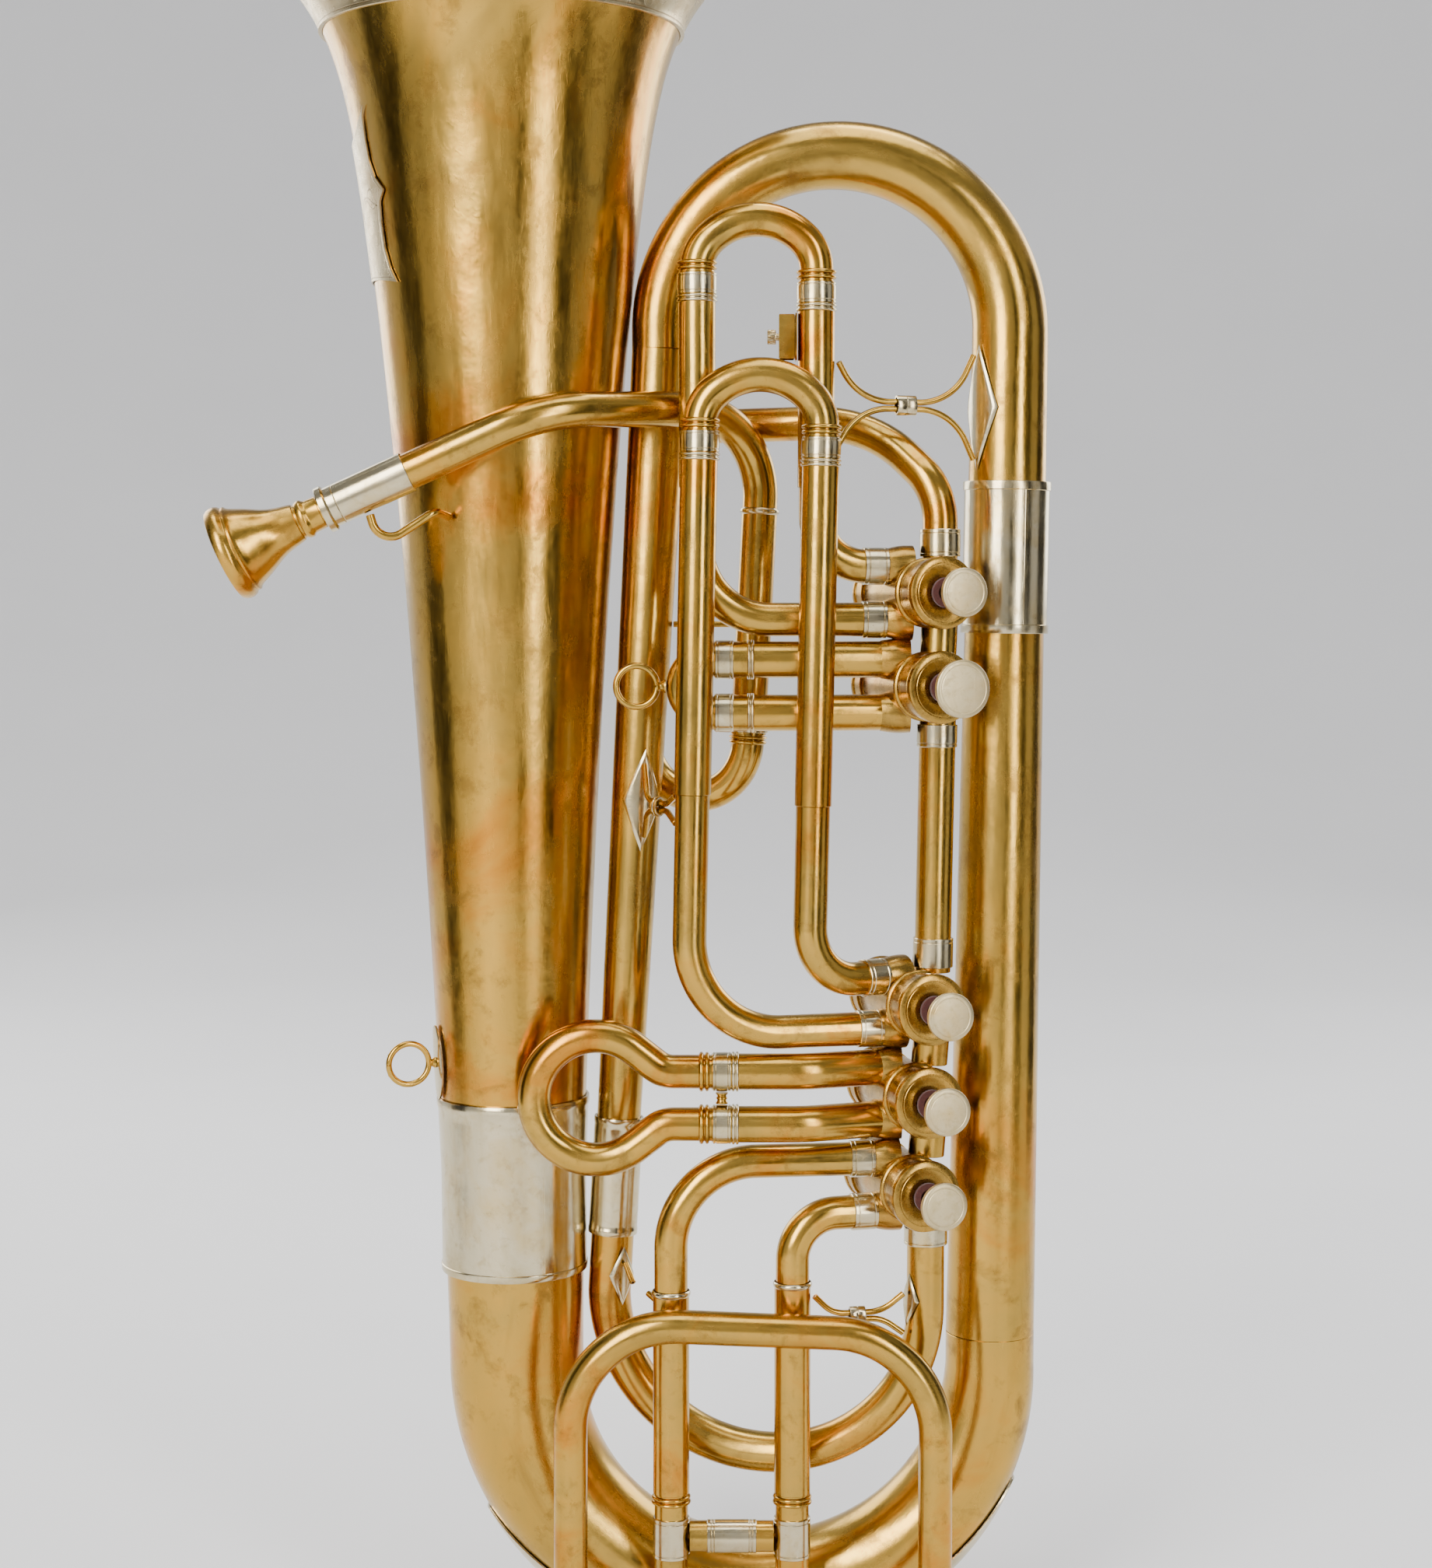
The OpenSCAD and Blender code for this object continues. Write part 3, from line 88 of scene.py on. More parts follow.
def engraving(nt):
    """Vines, rosettes and a border rule cut into a plate, from its own flat coordinates in mm."""
    flat = add(nt, "ShaderNodeAttribute", attribute_name="flat").outputs["Vector"]
    xyz = add(nt, "ShaderNodeSeparateXYZ", {0: flat})
    u, v, edge = xyz.outputs[0], xyz.outputs[1], xyz.outputs[2]
    cut = None
    for wave, high, shift in ((34.0, 5.0, 0.0), (17.0, 3.4, 1.3), (23.0, 6.5, 2.4)):
        s = calc(nt, "SINE", calc(nt, "ADD", calc(nt, "MULTIPLY", u, 2 * math.pi / wave), shift))
        d = calc(nt, "ABSOLUTE", calc(nt, "SUBTRACT", v, calc(nt, "MULTIPLY", s, high)))
        line = spread(nt, d, 0.18, 0.5, 1.0, 0.0)
        cut = line if cut is None else calc(nt, "MAXIMUM", cut, line)
    cell = add(nt, "ShaderNodeTexVoronoi", {"Vector": flat, "Scale": 0.14}, voronoi_dimensions="2D")
    petal = calc(nt, "ABSOLUTE", calc(nt, "SINE", calc(nt, "MULTIPLY", cell.outputs["Distance"], 22.0)))
    inside = spread(nt, cell.outputs["Distance"], 0.42, 0.5, 1.0, 0.0)
    cut = calc(nt, "MAXIMUM", cut, calc(nt, "MULTIPLY", spread(nt, petal, 0.05, 0.3, 1.0, 0.0), inside))
    rim = calc(nt, "ABSOLUTE", calc(nt, "SUBTRACT", edge, 1.7))
    rule = spread(nt, rim, 0.14, 0.36, 1.0, 0.0)
    field = spread(nt, edge, 2.4, 3.2, 0.0, 1.0)
    return calc(nt, "MAXIMUM", rule, calc(nt, "MULTIPLY", cut, field))


def metal(name, tones, stain, rough, patch=15.0, stain_amount=0.55, wave=1.0, cut=False):
    m = bpy.data.materials.new(name)
    m.use_nodes = True
    nt = m.node_tree
    pos = add(nt, "ShaderNodeTexCoord").outputs["Object"]
    grain = add(nt, "ShaderNodeAttribute", attribute_name="grain").outputs["Vector"]
    base = noise_of(nt, pos, patch, 6.0, 0.6, 0.7)
    colour = ramp(nt, base, tones)
    mottle = noise_of(nt, pos, patch * 5.5, 7.0, 0.66, 0.3)
    blotch = noise_of(nt, grain, patch * 3.2, 5.0, 0.6, 0.5)
    stained = calc(nt, "MULTIPLY", spread(nt, mottle, 0.52, 0.68, 0.0, 1.0), stain_amount)
    streak = calc(nt, "MULTIPLY", spread(nt, blotch, 0.58, 0.7, 0.0, 1.0), stain_amount * 0.7)
    colour = mixed(nt, calc(nt, "MAXIMUM", stained, streak), colour, (*stain, 1))
    fleck = noise_of(nt, pos, 520.0, 3.0, 0.7)
    dirt = calc(nt, "MULTIPLY", spread(nt, fleck, 0.66, 0.74, 0.0, 1.0), 0.5)
    colour = mixed(nt, dirt, colour, (0.20, 0.12, 0.05, 1))
    wear = noise_of(nt, grain, patch * 9.0, 6.0, 0.7)
    shine = spread(nt, wear, 0.3, 0.72, rough[0], rough[1])
    shine = calc(nt, "ADD", shine, calc(nt, "MULTIPLY", stained, 0.16))
    far = add(nt, "ShaderNodeBump", {"Strength": 0.55 * wave, "Distance": 0.0016,
        "Height": noise_of(nt, grain, 26.0, 2.0, 0.5, 0.4)}).outputs[0]
    mid = add(nt, "ShaderNodeBump", {"Strength": 0.4 * wave, "Distance": 0.0006,
        "Height": noise_of(nt, pos, 60.0, 3.0, 0.5), "Normal": far}).outputs[0]
    hair = add(nt, "ShaderNodeMapping", {0: grain, "Rotation": (0.5, 0.9, 0.2), "Scale": (60.0, 900.0, 900.0)})
    hair2 = add(nt, "ShaderNodeMapping", {0: grain, "Rotation": (1.1, 0.3, 0.8), "Scale": (900.0, 45.0, 900.0)})
    scratch = calc(nt, "ADD", spread(nt, noise_of(nt, hair.outputs[0], 1.0, 2.0), 0.6, 0.7, 0.0, 1.0),
        spread(nt, noise_of(nt, hair2.outputs[0], 1.0, 2.0), 0.62, 0.7, 0.0, 1.0))
    last = add(nt, "ShaderNodeBump", {"Strength": 0.22, "Distance": 0.00004, "Height": scratch,
        "Normal": mid}).outputs[0]
    if cut:
        lines = engraving(nt)
        last = add(nt, "ShaderNodeBump", {"Strength": 0.9, "Distance": 0.00025, "Height": lines,
            "Normal": last}, invert=True).outputs[0]
        colour = mixed(nt, calc(nt, "MULTIPLY", lines, 0.62), colour, (0.28, 0.19, 0.09, 1))
    b = nt.nodes["Principled BSDF"]
    b.inputs["Metallic"].default_value = 1.0
    for socket, value in (("Base Color", colour), ("Roughness", shine), ("Normal", last)):
        nt.links.new(value, b.inputs[socket])
    return m


GOLD = [(0.28, (0.34, 0.21, 0.045)), (0.42, (0.50, 0.31, 0.06)), (0.54, (0.57, 0.33, 0.055)),
    (0.64, (0.57, 0.25, 0.028)), (0.72, (0.44, 0.15, 0.014))]
DEEP = [(0.28, (0.26, 0.16, 0.036)), (0.44, (0.40, 0.24, 0.05)), (0.58, (0.45, 0.25, 0.045)),
    (0.72, (0.38, 0.16, 0.022))]
PALE = [(0.30, (0.52, 0.42, 0.22)), (0.46, (0.62, 0.52, 0.31)), (0.60, (0.60, 0.47, 0.25)),
    (0.74, (0.54, 0.36, 0.12))]
SILVER = [(0.30, (0.50, 0.41, 0.22)), (0.5, (0.64, 0.56, 0.37)), (0.66, (0.60, 0.47, 0.24)),
    (0.76, (0.52, 0.33, 0.10))]
brass = metal("brass_aged", GOLD, (0.21, 0.11, 0.022), (0.14, 0.33), 11.0, 0.62)
tubes = metal("brass_tube", GOLD, (0.20, 0.105, 0.022), (0.14, 0.31), 19.0, 0.55, 0.5)
valve = metal("brass_turned", DEEP, (0.17, 0.085, 0.02), (0.18, 0.36), 40.0, 0.45, 0.25)
nickel = metal("nickel_silver", SILVER, (0.36, 0.24, 0.08), (0.12, 0.28), 30.0, 0.35, 0.5)
button_top = metal("button_face", PALE, (0.38, 0.27, 0.11), (0.34, 0.5), 60.0, 0.4, 0.2)
plate = metal("nickel_engraved", PALE, (0.36, 0.25, 0.10), (0.22, 0.40), 24.0, 0.4, 0.6, True)
steel = metal("spring_steel", [(0.3, (0.45, 0.44, 0.42)), (0.7, (0.58, 0.57, 0.55))], (0.3, 0.22, 0.15),
    (0.25, 0.4), 60.0, 0.3, 0.1)


def felt_material():
    m = bpy.data.materials.new("red_felt")
    m.use_nodes = True
    nt = m.node_tree
    pos = add(nt, "ShaderNodeTexCoord").outputs["Object"]
    fuzz = noise_of(nt, pos, 1400.0, 6.0, 0.8)
    b = nt.nodes["Principled BSDF"]
    nt.links.new(ramp(nt, fuzz, [(0.35, (0.035, 0.007, 0.006)), (0.65, (0.09, 0.016, 0.012))]), b.inputs["Base Color"])
    nt.links.new(add(nt, "ShaderNodeBump", {"Strength": 0.7, "Distance": 0.0003, "Height": fuzz}).outputs[0],
        b.inputs["Normal"])
    b.inputs["Roughness"].default_value = 0.95
    b.inputs["Sheen Weight"].default_value = 0.2
    return m


felt = felt_material()


# ---------- shapes ----------
def square_to(t, hint=Vector((0, 1, 0))):
    if abs(t.dot(hint)) > 0.95:
        hint = Vector((1, 0, 0))
    x = (hint - t * hint.dot(t)).normalized()
    return x, t.cross(x)


def rounded(points, radii, step=1.4, long=6.0):
    """A polyline with rounded corners, as close points."""
    p = [Vector(q) for q in points]
    out = [p[0]]
    for i in range(1, len(p) - 1):
        a, b = (p[i] - p[i - 1]).normalized(), (p[i + 1] - p[i]).normalized()
        turn, r = a.angle(b), radii[i]
        inward = (b - a * a.dot(b)).normalized()
        start = p[i] - a * r * math.tan(turn / 2)
        n = max(5, int(turn * r / step))
        out += [start + inward * r * (1 - math.cos(turn * k / n)) + a * r * math.sin(turn * k / n)
            for k in range(n + 1)]
    out.append(p[-1])
    fine = [out[0]]
    for q in out[1:]:
        d = (q - fine[-1]).length
        if d < 0.02:
            continue
        n = max(1, int(d / long + 0.5))
        a = fine[-1]
        fine += [a + (q - a) * k / n for k in range(1, n + 1)]
    return fine


class Shape:
    """Collects rings and sheets of points in mm and makes one mesh of them."""

    def __init__(self):
        self.v, self.f, self.g, self.m, self.flat = [], [], [], [], []

    def rows(self, rows, grain, mat=0, wrap=True, caps=(False, False), flat=None):
        base, n = len(self.v), len(rows[0])
        for row in rows:
            self.v += row
        for row in grain:
            self.g += row
        self.flat += [q for row in flat for q in row] if flat else [(0, 0, 99)] * (n * len(rows))
        for i in range(len(rows) - 1):
            for k in range(n if wrap else n - 1):
                a, b = base + i * n + k, base + i * n + (k + 1) % n
                self.f.append((a, b, b + n, a + n))
                self.m.append(mat)
        for on, face in zip(caps, (range(base + n - 1, base - 1, -1), range(len(self.v) - n, len(self.v)))):
            if on:
                self.f.append(tuple(face))
                self.m.append(mat)

    def lathe(self, at, axis, profile, sides=64, mat=0, caps=(False, False), knurl=None):
        """Turns (radius, height) pairs about an axis."""
        t = Vector(axis).normalized()
        x, y = square_to(t)
        at = Vector(at)
        rows, grain = [], []
        for i, (r, h) in enumerate(profile):
            row, g = [], []
            for k in range(sides):
                a = 2 * math.pi * k / sides
                q = max(r, 0.01) - (0.16 if knurl and knurl[0] <= i <= knurl[1] and k % 2 else 0)
                c, s = q * math.cos(a), q * math.sin(a)
                row.append(at + t * h + x * c + y * s)
                g.append((c * MM, s * MM, h * MM * 0.16))
            rows.append(row)
            grain.append(g)
        self.rows(rows, grain, mat, True, caps)

    def tube(self, pts, radius, sides=44, mat=0, bore=None, lip=0.18):
        """A tube along points, with lipped open ends if bore is given."""
        n = len(pts)
        tan = [(pts[min(i + 1, n - 1)] - pts[max(i - 1, 0)]).normalized() for i in range(n)]
        rad = [radius] * n if isinstance(radius, (int, float)) else radius
        stations = [(pts[i], tan[i], rad[i]) for i in range(n)]
        if bore is None:
            bore = min(rad) - 0.6
        a, b = tan[0], tan[-1]
        stations = ([(pts[0] + a * 5, a, bore), (pts[0], a, bore), (pts[0], a, rad[0] - lip),
            (pts[0] + a * lip, a, rad[0])] + stations[1:-1]
            + [(pts[-1] - b * lip, b, rad[-1]), (pts[-1], b, rad[-1] - lip), (pts[-1], b, bore),
                (pts[-1] - b * 5, b, bore)])
        x, _ = square_to(a)
        s, rows, grain = 0.0, [], []
        for i, (p, t, r) in enumerate(stations):
            if i:
                s += (p - stations[i - 1][0]).length
            x = (x - t * x.dot(t)).normalized()
            y = t.cross(x)
            row, g = [], []
            for k in range(sides):
                c, d = math.cos(2 * math.pi * k / sides), math.sin(2 * math.pi * k / sides)
                row.append(p + x * r * c + y * r * d)
                g.append(((r * c + pts[0].x) * MM, (r * d + pts[0].z) * MM, s * MM * 0.16))
            rows.append(row)
            grain.append(g)
        self.rows(rows, grain, mat, True, (True, True))

    def sheet(self, point, nu, nv, thick, mat=0, flat=None):
        """A thin curved plate from point(u, v, lift) with u and v from -1 to 1."""
        us = [-1 + 2 * k / nu for k in range(nu + 1)]
        vs = [-1 + 2 * k / nv for k in range(nv + 1)]
        top = [[point(u, v, thick) for u in us] for v in vs]
        grain = [[tuple(q * MM) for q in row] for row in top]
        fl = [[flat(u, v) for u in us] for v in vs] if flat else None
        self.rows(top, grain, mat, False, flat=fl)
        low = [[point(u, v, 0.0) for u in reversed(us)] for v in vs]
        self.rows(low, [[tuple(q * MM) for q in row] for row in low], mat, False)
        edge = ([(u, -1) for u in us] + [(1, v) for v in vs[1:]] + [(u, 1) for u in reversed(us[:-1])]
            + [(-1, v) for v in reversed(vs[1:-1])])
        ring = [[point(u, v, lift) for u, v in edge] for lift in (0.0, thick)]
        self.rows(ring, [[tuple(q * MM) for q in row] for row in ring], mat, True)

    def make(self, name, mats, nodes, body=None, sharp=32):
        me = bpy.data.meshes.new(name)
        me.from_pydata([tuple(q * MM) for q in self.v], [], self.f)
        for m in mats:
            me.materials.append(m)
        me.polygons.foreach_set("material_index", self.m)
        grain = me.attributes.new("grain", "FLOAT_VECTOR", "POINT")
        grain.data.foreach_set("vector", [c for q in self.g for c in q])
        if any(q[2] != 99 for q in self.flat):
            flat = me.attributes.new("flat", "FLOAT_VECTOR", "POINT")
            flat.data.foreach_set("vector", [c for q in self.flat for c in q])
        me.shade_smooth()
        me.set_sharp_from_angle(angle=math.radians(sharp))
        o = bpy.data.objects.new(name, me)
        bpy.context.scene.collection.objects.link(o)
        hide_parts(*nodes)
        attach(o, body or BODY[nodes[0]])
        return o


def bulge(r, h0, h1, rise, n=8):
    """Profile of a rounded bead on a tube of radius r."""
    return [(r, h0)] + [(r + rise * math.sin(math.pi * k / n) ** 0.6, h0 + (h1 - h0) * k / n)
        for k in range(1, n)] + [(r, h1)]


def sleeve(r, h0, h1, rise, lines=(), inner=None):
    """Profile of a plain sleeve with eased ends and engraved lines."""
    inner = r if inner is None else inner
    out = [(inner, h0), (r + rise - 0.25, h0), (r + rise, h0 + 0.25)]
    for q in sorted(lines):
        out += [(r + rise, q - 0.35), (r + rise - 0.22, q - 0.1), (r + rise - 0.22, q + 0.1), (r + rise, q + 0.35)]
    return out + [(r + rise, h1 - 0.25), (r + rise - 0.25, h1), (inner, h1)]


# ---------- sizes, as in the part's source ----------
def sin(a):
    return math.sin(math.radians(a))


def cos(a):
    return math.cos(math.radians(a))


def mix(a, b, f):
    return a + (b - a) * f


BOW_R = 109.0
GUARD_T, GUARD_GAP, BAND_T, WALL = 0.8, 0.45, 0.9, 0.8
TUBE, LEG = 14.9 / 2, 16.1 / 2
LEAD = 15.8 / 2


def bow_tube_r(f):
    return 30.7 + (20.25 - 30.7) * max(f, 0.0) ** 1.4


BOW_Z = BOW_R + bow_tube_r(0.5) + GUARD_GAP + GUARD_T
TOP_Z, TOP_R = 599.0, 78.5
BELL_BASE = Vector((-BOW_R - 1, 0, 226))
BELL_AXIS = Vector((-sin(0.3), 0, cos(0.3)))
BELL_L = 776.0 - 226
RISER_FOOT, RISER_HEAD = Vector((BOW_R, 0, BOW_Z + 14)), Vector((BOW_R + 6, 0, TOP_Z))
MAIN_HEAD = Vector((RISER_HEAD.x - 157, 0, TOP_Z))
MAIN_FOOT = Vector((MAIN_HEAD.x - 21.2, 0, 224))
JOINT_Z = 506.0


def riser(z):
    f = (z - RISER_FOOT.z) / (TOP_Z - RISER_FOOT.z)
    return RISER_FOOT.x + 6 * f, (40.5 - 6.5 * f) / 2


def main(z):
    f = (z - MAIN_FOOT.z) / (TOP_Z - MAIN_FOOT.z)
    return MAIN_FOOT.x + 21.2 * f, (19.6 + 6.4 * f) / 2


def bell_r(h):
    s = BELL_L - h
    return 32 * ((BELL_L + 600) / (s + 600)) ** 1.38 + 35 * math.exp(-s / 24)


def on_bell(angle, h, lift):
    a = math.radians(angle)
    x = Vector((math.cos(math.radians(0.3)), 0, math.sin(math.radians(0.3))))
    return BELL_BASE + BELL_AXIS * h + (x * math.cos(a) + Vector((0, 1, 0)) * math.sin(a)) * (bell_r(h) + lift)


VALVE_Z = [490, 449, 308.5, 308.5 - 41.2, 308.5 - 82.4]
TURN = [20, 20, 17, 17, 17]
VALVE_X = [riser(z)[0] - 42 - max(0, i - 2) * 0.6 for i, z in enumerate(VALVE_Z)]
LINE_X = [x + 10 for x in VALVE_X]
DEPTH, RISE = 30.0, 11.7
CASING, CAP, STEM = 28.5 / 2, 30.5 / 2, 3.5
REAR_Y, FRONT_Y = -36.4, -54.5


def valve_at(i):
    return Vector((VALVE_X[i], -DEPTH, VALVE_Z[i]))


def front(i):
    return Vector((sin(TURN[i]), -cos(TURN[i]), 0))


# ---------- bell and large tubing ----------
s = Shape()
heights = [BELL_L - 2.2 - (BELL_L - 2.2) * (1 - k / 150) ** 1.25 for k in range(151)]
outer = [(bell_r(h), h) for h in heights]
top = bell_r(BELL_L - 2.2)
wire = [(top + 0.35, BELL_L - 2.2)] + [
    (top + 1.0 + 1.35 * cos(a), BELL_L - 1.15 + 1.1 * sin(a)) for a in range(-80, 111, 19)]
inner = [(bell_r(h) - WALL - 0.4 * h / BELL_L, h) for h in reversed(heights)]
s.lathe(BELL_BASE, BELL_AXIS, outer + wire + [(top - 0.9, BELL_L - 0.2)] + inner, 200, caps=(False, True))
s.make("bell_look", [brass], ["bell"])

s = Shape()
low, high = BELL_L - 38, BELL_L - 2.7
grid = [low + (high - low) * (1 - (1 - k / 26) ** 1.5) for k in range(27)]
rows, grain, flat = [], [], []
profile = [(0.25, low), (1.6, low), (1.85, low + 0.25)] + [
    (0.95 + 0.9 * math.exp(-(h - low) / 1.1), h) for h in grid[1:]]
for lift, h in profile + [(0.3, high)]:
    row = [on_bell(360 * k / 240, min(h, high), lift) for k in range(240)]
    rows.append(row)
    grain.append([tuple(q * MM) for q in row])
    flat.append([(2 * math.pi * 78 * k / 240, h - low - 17, min(h - low, high - h)) for k in range(240)])
s.rows(rows, grain, flat=flat)
s.make("bell_garland_look", [plate], ["bell_garland"])

EDGE = [(0, 29.7), (0.06, 27.4), (0.18, 26.7), (0.3, 27.3), (0.4, 30.2), (0.48, 35.6), (0.54, 31.8),
    (0.65, 30.9), (0.8, 31.4), (0.92, 34.3), (1, 38)]


def edge_at(f):
    for (a, p), (b, q) in zip(EDGE, EDGE[1:]):
        if f <= b:
            return mix(p, q, (f - a) / (b - a))
    return EDGE[-1][1]


def shield_point(u, v, lift):
    f = (v + 1) / 2
    up = BELL_L - 75 - 13 * (1 - abs(u) ** 2.4)
    down = BELL_L - 151 + 3.5 * (1 - u * u)
    return on_bell(184 + edge_at(f) * u, mix(up, down, f), 0.5 + lift)


def shield_flat(u, v):
    half = math.radians(edge_at((v + 1) / 2)) * 62
    return (half * u + 7, v * 37, min((1 - abs(u)) * half, (1 - abs(v)) * 37))


s = Shape()
s.sheet(shield_point, 48, 80, 0.7, flat=shield_flat)
s.make("bell_shield_look", [plate], ["bell_shield"])

s = Shape()
prof = [(0.3, -45), (1.3, -45), (1.5, -44.6), (1.7, -42.4), (1.62, -41.9), (1.18, -41.6)]
prof += [(1.18, h) for h in range(-38, 31, 4)] + [(1.62, 31.6), (1.7, 32.2), (1.5, 34.7), (1.3, 35), (0.3, 35)]
s.lathe(BELL_BASE, BELL_AXIS, [(bell_r(max(h, 0)) + r, h) for r, h in prof], 160)
seam = [BELL_BASE + BELL_AXIS * h + Vector((sin(28) * (33.3), -cos(28) * (33.3), 0)) for h in range(-41, 32, 3)]
s.tube(seam, 0.24, 8, bore=0.1, lip=0.02)
s.make("bell_band_look", [nickel], ["bell_band"])


def bow_point(f):
    return Vector((-BOW_R * cos(180 * f), 0, BOW_Z - BOW_R * sin(180 * f)))


s = Shape()
pts = [BELL_BASE - BELL_AXIS * 0.05, BELL_BASE - BELL_AXIS * 4]
rad = [32, 32]
for k in range(1, 14):
    f = k / 14
    pts.append(mix(BELL_BASE - BELL_AXIS * 4, bow_point(0), f))
    rad.append(mix(32, 30.7, f * f * (3 - 2 * f)))
pts += [bow_point(k / 110) for k in range(111)] + [RISER_FOOT + Vector((0, 0, -8)), RISER_FOOT + Vector((0, 0, -0.05))]
rad += [bow_tube_r(k / 110) for k in range(111)] + [20.25, 20.25]
s.tube(pts, rad, 96, bore=19)
s.make("bottom_bow_look", [brass], ["bottom_bow"])


def guard_half(t):
    return 62 * sin(180 * (0.02 + 0.96 * t)) ** 0.45


def guard_point(u, v, lift):
    t = (v + 1) / 2
    f, a = 0.16 + 0.705 * t, guard_half(t) * u
    out = Vector((-cos(180 * f), 0, -sin(180 * f)))
    return bow_point(f) + (out * cos(a) + Vector((0, -1, 0)) * sin(a)) * (bow_tube_r(f) + GUARD_GAP + lift)


def guard_flat(u, v):
    t = (v + 1) / 2
    half = math.radians(guard_half(t)) * 27
    return (v * 130, half * u, min((1 - abs(u)) * half, (1 - abs(v)) * 130))


s = Shape()
s.sheet(guard_point, 44, 150, GUARD_T, flat=guard_flat)
s.make("bow_guard_look", [nickel], ["bow_guard"])

s = Shape()
pts = [Vector((riser(z)[0], 0, z)) for z in [RISER_FOOT.z + k * (JOINT_Z - RISER_FOOT.z) / 60 for k in range(61)]]
s.tube(pts, [riser(p.z)[1] for p in pts], 80, bore=16.2)
s.make("riser_tube_look", [brass], ["riser_tube"])

s = Shape()
centre = (MAIN_HEAD + RISER_HEAD) / 2
pts = [MAIN_HEAD + Vector((0, 0, 0.05)), MAIN_HEAD + Vector((0, 0, 4))]
rad = [13, 13]
for k in range(111):
    pts.append(centre + Vector((-cos(180 * k / 110), 0, sin(180 * k / 110))) * TOP_R + UP * 8)
    rad.append(mix(13, 17, k / 110))
for k in range(1, 16):
    z = mix(TOP_Z + 8, JOINT_Z + 0.02, k / 15)
    pts.append(Vector((riser(z)[0] if z < TOP_Z else RISER_HEAD.x, 0, z)))
    rad.append(riser(min(z, TOP_Z))[1])
s.tube(pts, rad, 80, bore=12)
s.make("top_bow_look", [brass], ["top_bow"])

s = Shape()
pts = [mix(MAIN_FOOT, MAIN_HEAD, k / 60) for k in range(61)]
s.tube(pts, [main(p.z)[1] for p in pts], 64, bore=9)
s.make("main_tube_look", [brass], ["main_tube"])

s = Shape()
axis = (RISER_HEAD - RISER_FOOT).normalized()
at = Vector((riser(JOINT_Z)[0], 0, JOINT_Z))
r = riser(JOINT_Z - 34)[1] + 0.4
prof = [(r, -34), (r + 1.35, -34), (r + 1.5, -33.7), (r + 1.5, -30.3), (r + 0.95, -30)]
prof += [(r + 0.9, h) for h in range(-28, 29, 4)] + [(r + 0.95, 30), (r + 1.5, 30.3), (r + 1.5, 33.7), (r + 1.35, 34), (r, 34)]
s.lathe(at, axis, prof, 110)
side = Vector((sin(20), -cos(20), 0)) * (r + 0.92)
s.tube([at + side + axis * h for h in range(-30, 31, 3)], 0.26, 8, bore=0.1, lip=0.02)
s.make("riser_band_look", [nickel], ["riser_band"])

s = Shape()
axis = (MAIN_HEAD - MAIN_FOOT).normalized()
r = main(MAIN_FOOT.z + 27)[1] + 0.2
prof = [(r, -27), (r + 0.95, -27), (r + 1.1, -26.7), (r + 1.1, -24.4), (r + 0.9, -24)]
prof += [(r + 0.9, h) for h in range(-22, 23, 4)] + [(r + 0.9, 24), (r + 1.1, 24.4), (r + 1.1, 26.7), (r + 0.95, 27), (r, 27)]
s.lathe(MAIN_FOOT, axis, prof, 90)
s.make("main_band_look", [nickel], ["main_band"])

s = Shape()
IN_Z, BOW_IN_Z = 170.3, 200.0
left, right = Vector((main(IN_Z)[0], 0, IN_Z)), Vector((LINE_X[4], -DEPTH, IN_Z))
pts, rad = [], []
for k in range(10):
    pts.append(mix(MAIN_FOOT - UP * 0.05, left, k / 10))
    rad.append(9.8)
for k in range(91):
    f = k / 90
    pts.append(Vector(((left.x + right.x) / 2 - (right.x - left.x) / 2 * cos(180 * f),
        -DEPTH * f * f * (3 - 2 * f), IN_Z - (right.x - left.x) / 2 * sin(180 * f))))
    rad.append(mix(9.8, LEG + 0.3, f))
for k in range(1, 7):
    pts.append(mix(right, Vector((LINE_X[4], -DEPTH, BOW_IN_Z)), k / 6))
    rad.append(LEG + 0.3)
s.tube(pts, rad, 56, bore=7.2)
s.make("inner_bow_look", [brass], ["inner_bow"])

# ---------- mouthpipe, tuning slide, feed ----------
LEAD_START = Vector((-BOW_R - 44, -60, 540))
LEAD_DIR = Vector((cos(24.5), 0, sin(24.5)))
TUNE_UP = Vector((5.2, 0, 103)).normalized()
STEP_Z = 527.0


def tuning_at(back, z):
    p = Vector((main(420)[0] + 7, 25.5, STEP_Z)) if back else Vector((LINE_X[0] - 79, 3, STEP_Z))
    return p + TUNE_UP * (z - STEP_Z) / TUNE_UP.z


s = Shape()
pts = rounded([LEAD_START, LEAD_START + LEAD_DIR * 68, tuning_at(False, 573), tuning_at(False, STEP_Z)], [0, 60, 38, 0])
s.tube(pts, LEAD, 52, bore=6.9)
s.tube([tuning_at(False, STEP_Z - 0.02 - k * 10.1) for k in range(11)], LEG, 52, bore=7.5)
s.make("leadpipe_look", [tubes], ["leadpipe"])

s = Shape()
LINE0 = Vector((LINE_X[0], -DEPTH, 0))
pts = rounded([tuning_at(True, STEP_Z), tuning_at(True, 566), Vector((LINE_X[0] - 30, -7.5, 566.5)),
    LINE0 + UP * 535, LINE0 + UP * (VALVE_Z[0] + CASING + 0.3)], [0, 24, 66, 31, 0])
s.tube(pts, TUBE + 0.25, 52, bore=6.9)
s.tube([tuning_at(True, STEP_Z - 0.02 - k * 10.1) for k in range(11)], LEG, 52, bore=7.5)
s.make("feed_tube_look", [tubes], ["feed_tube"])

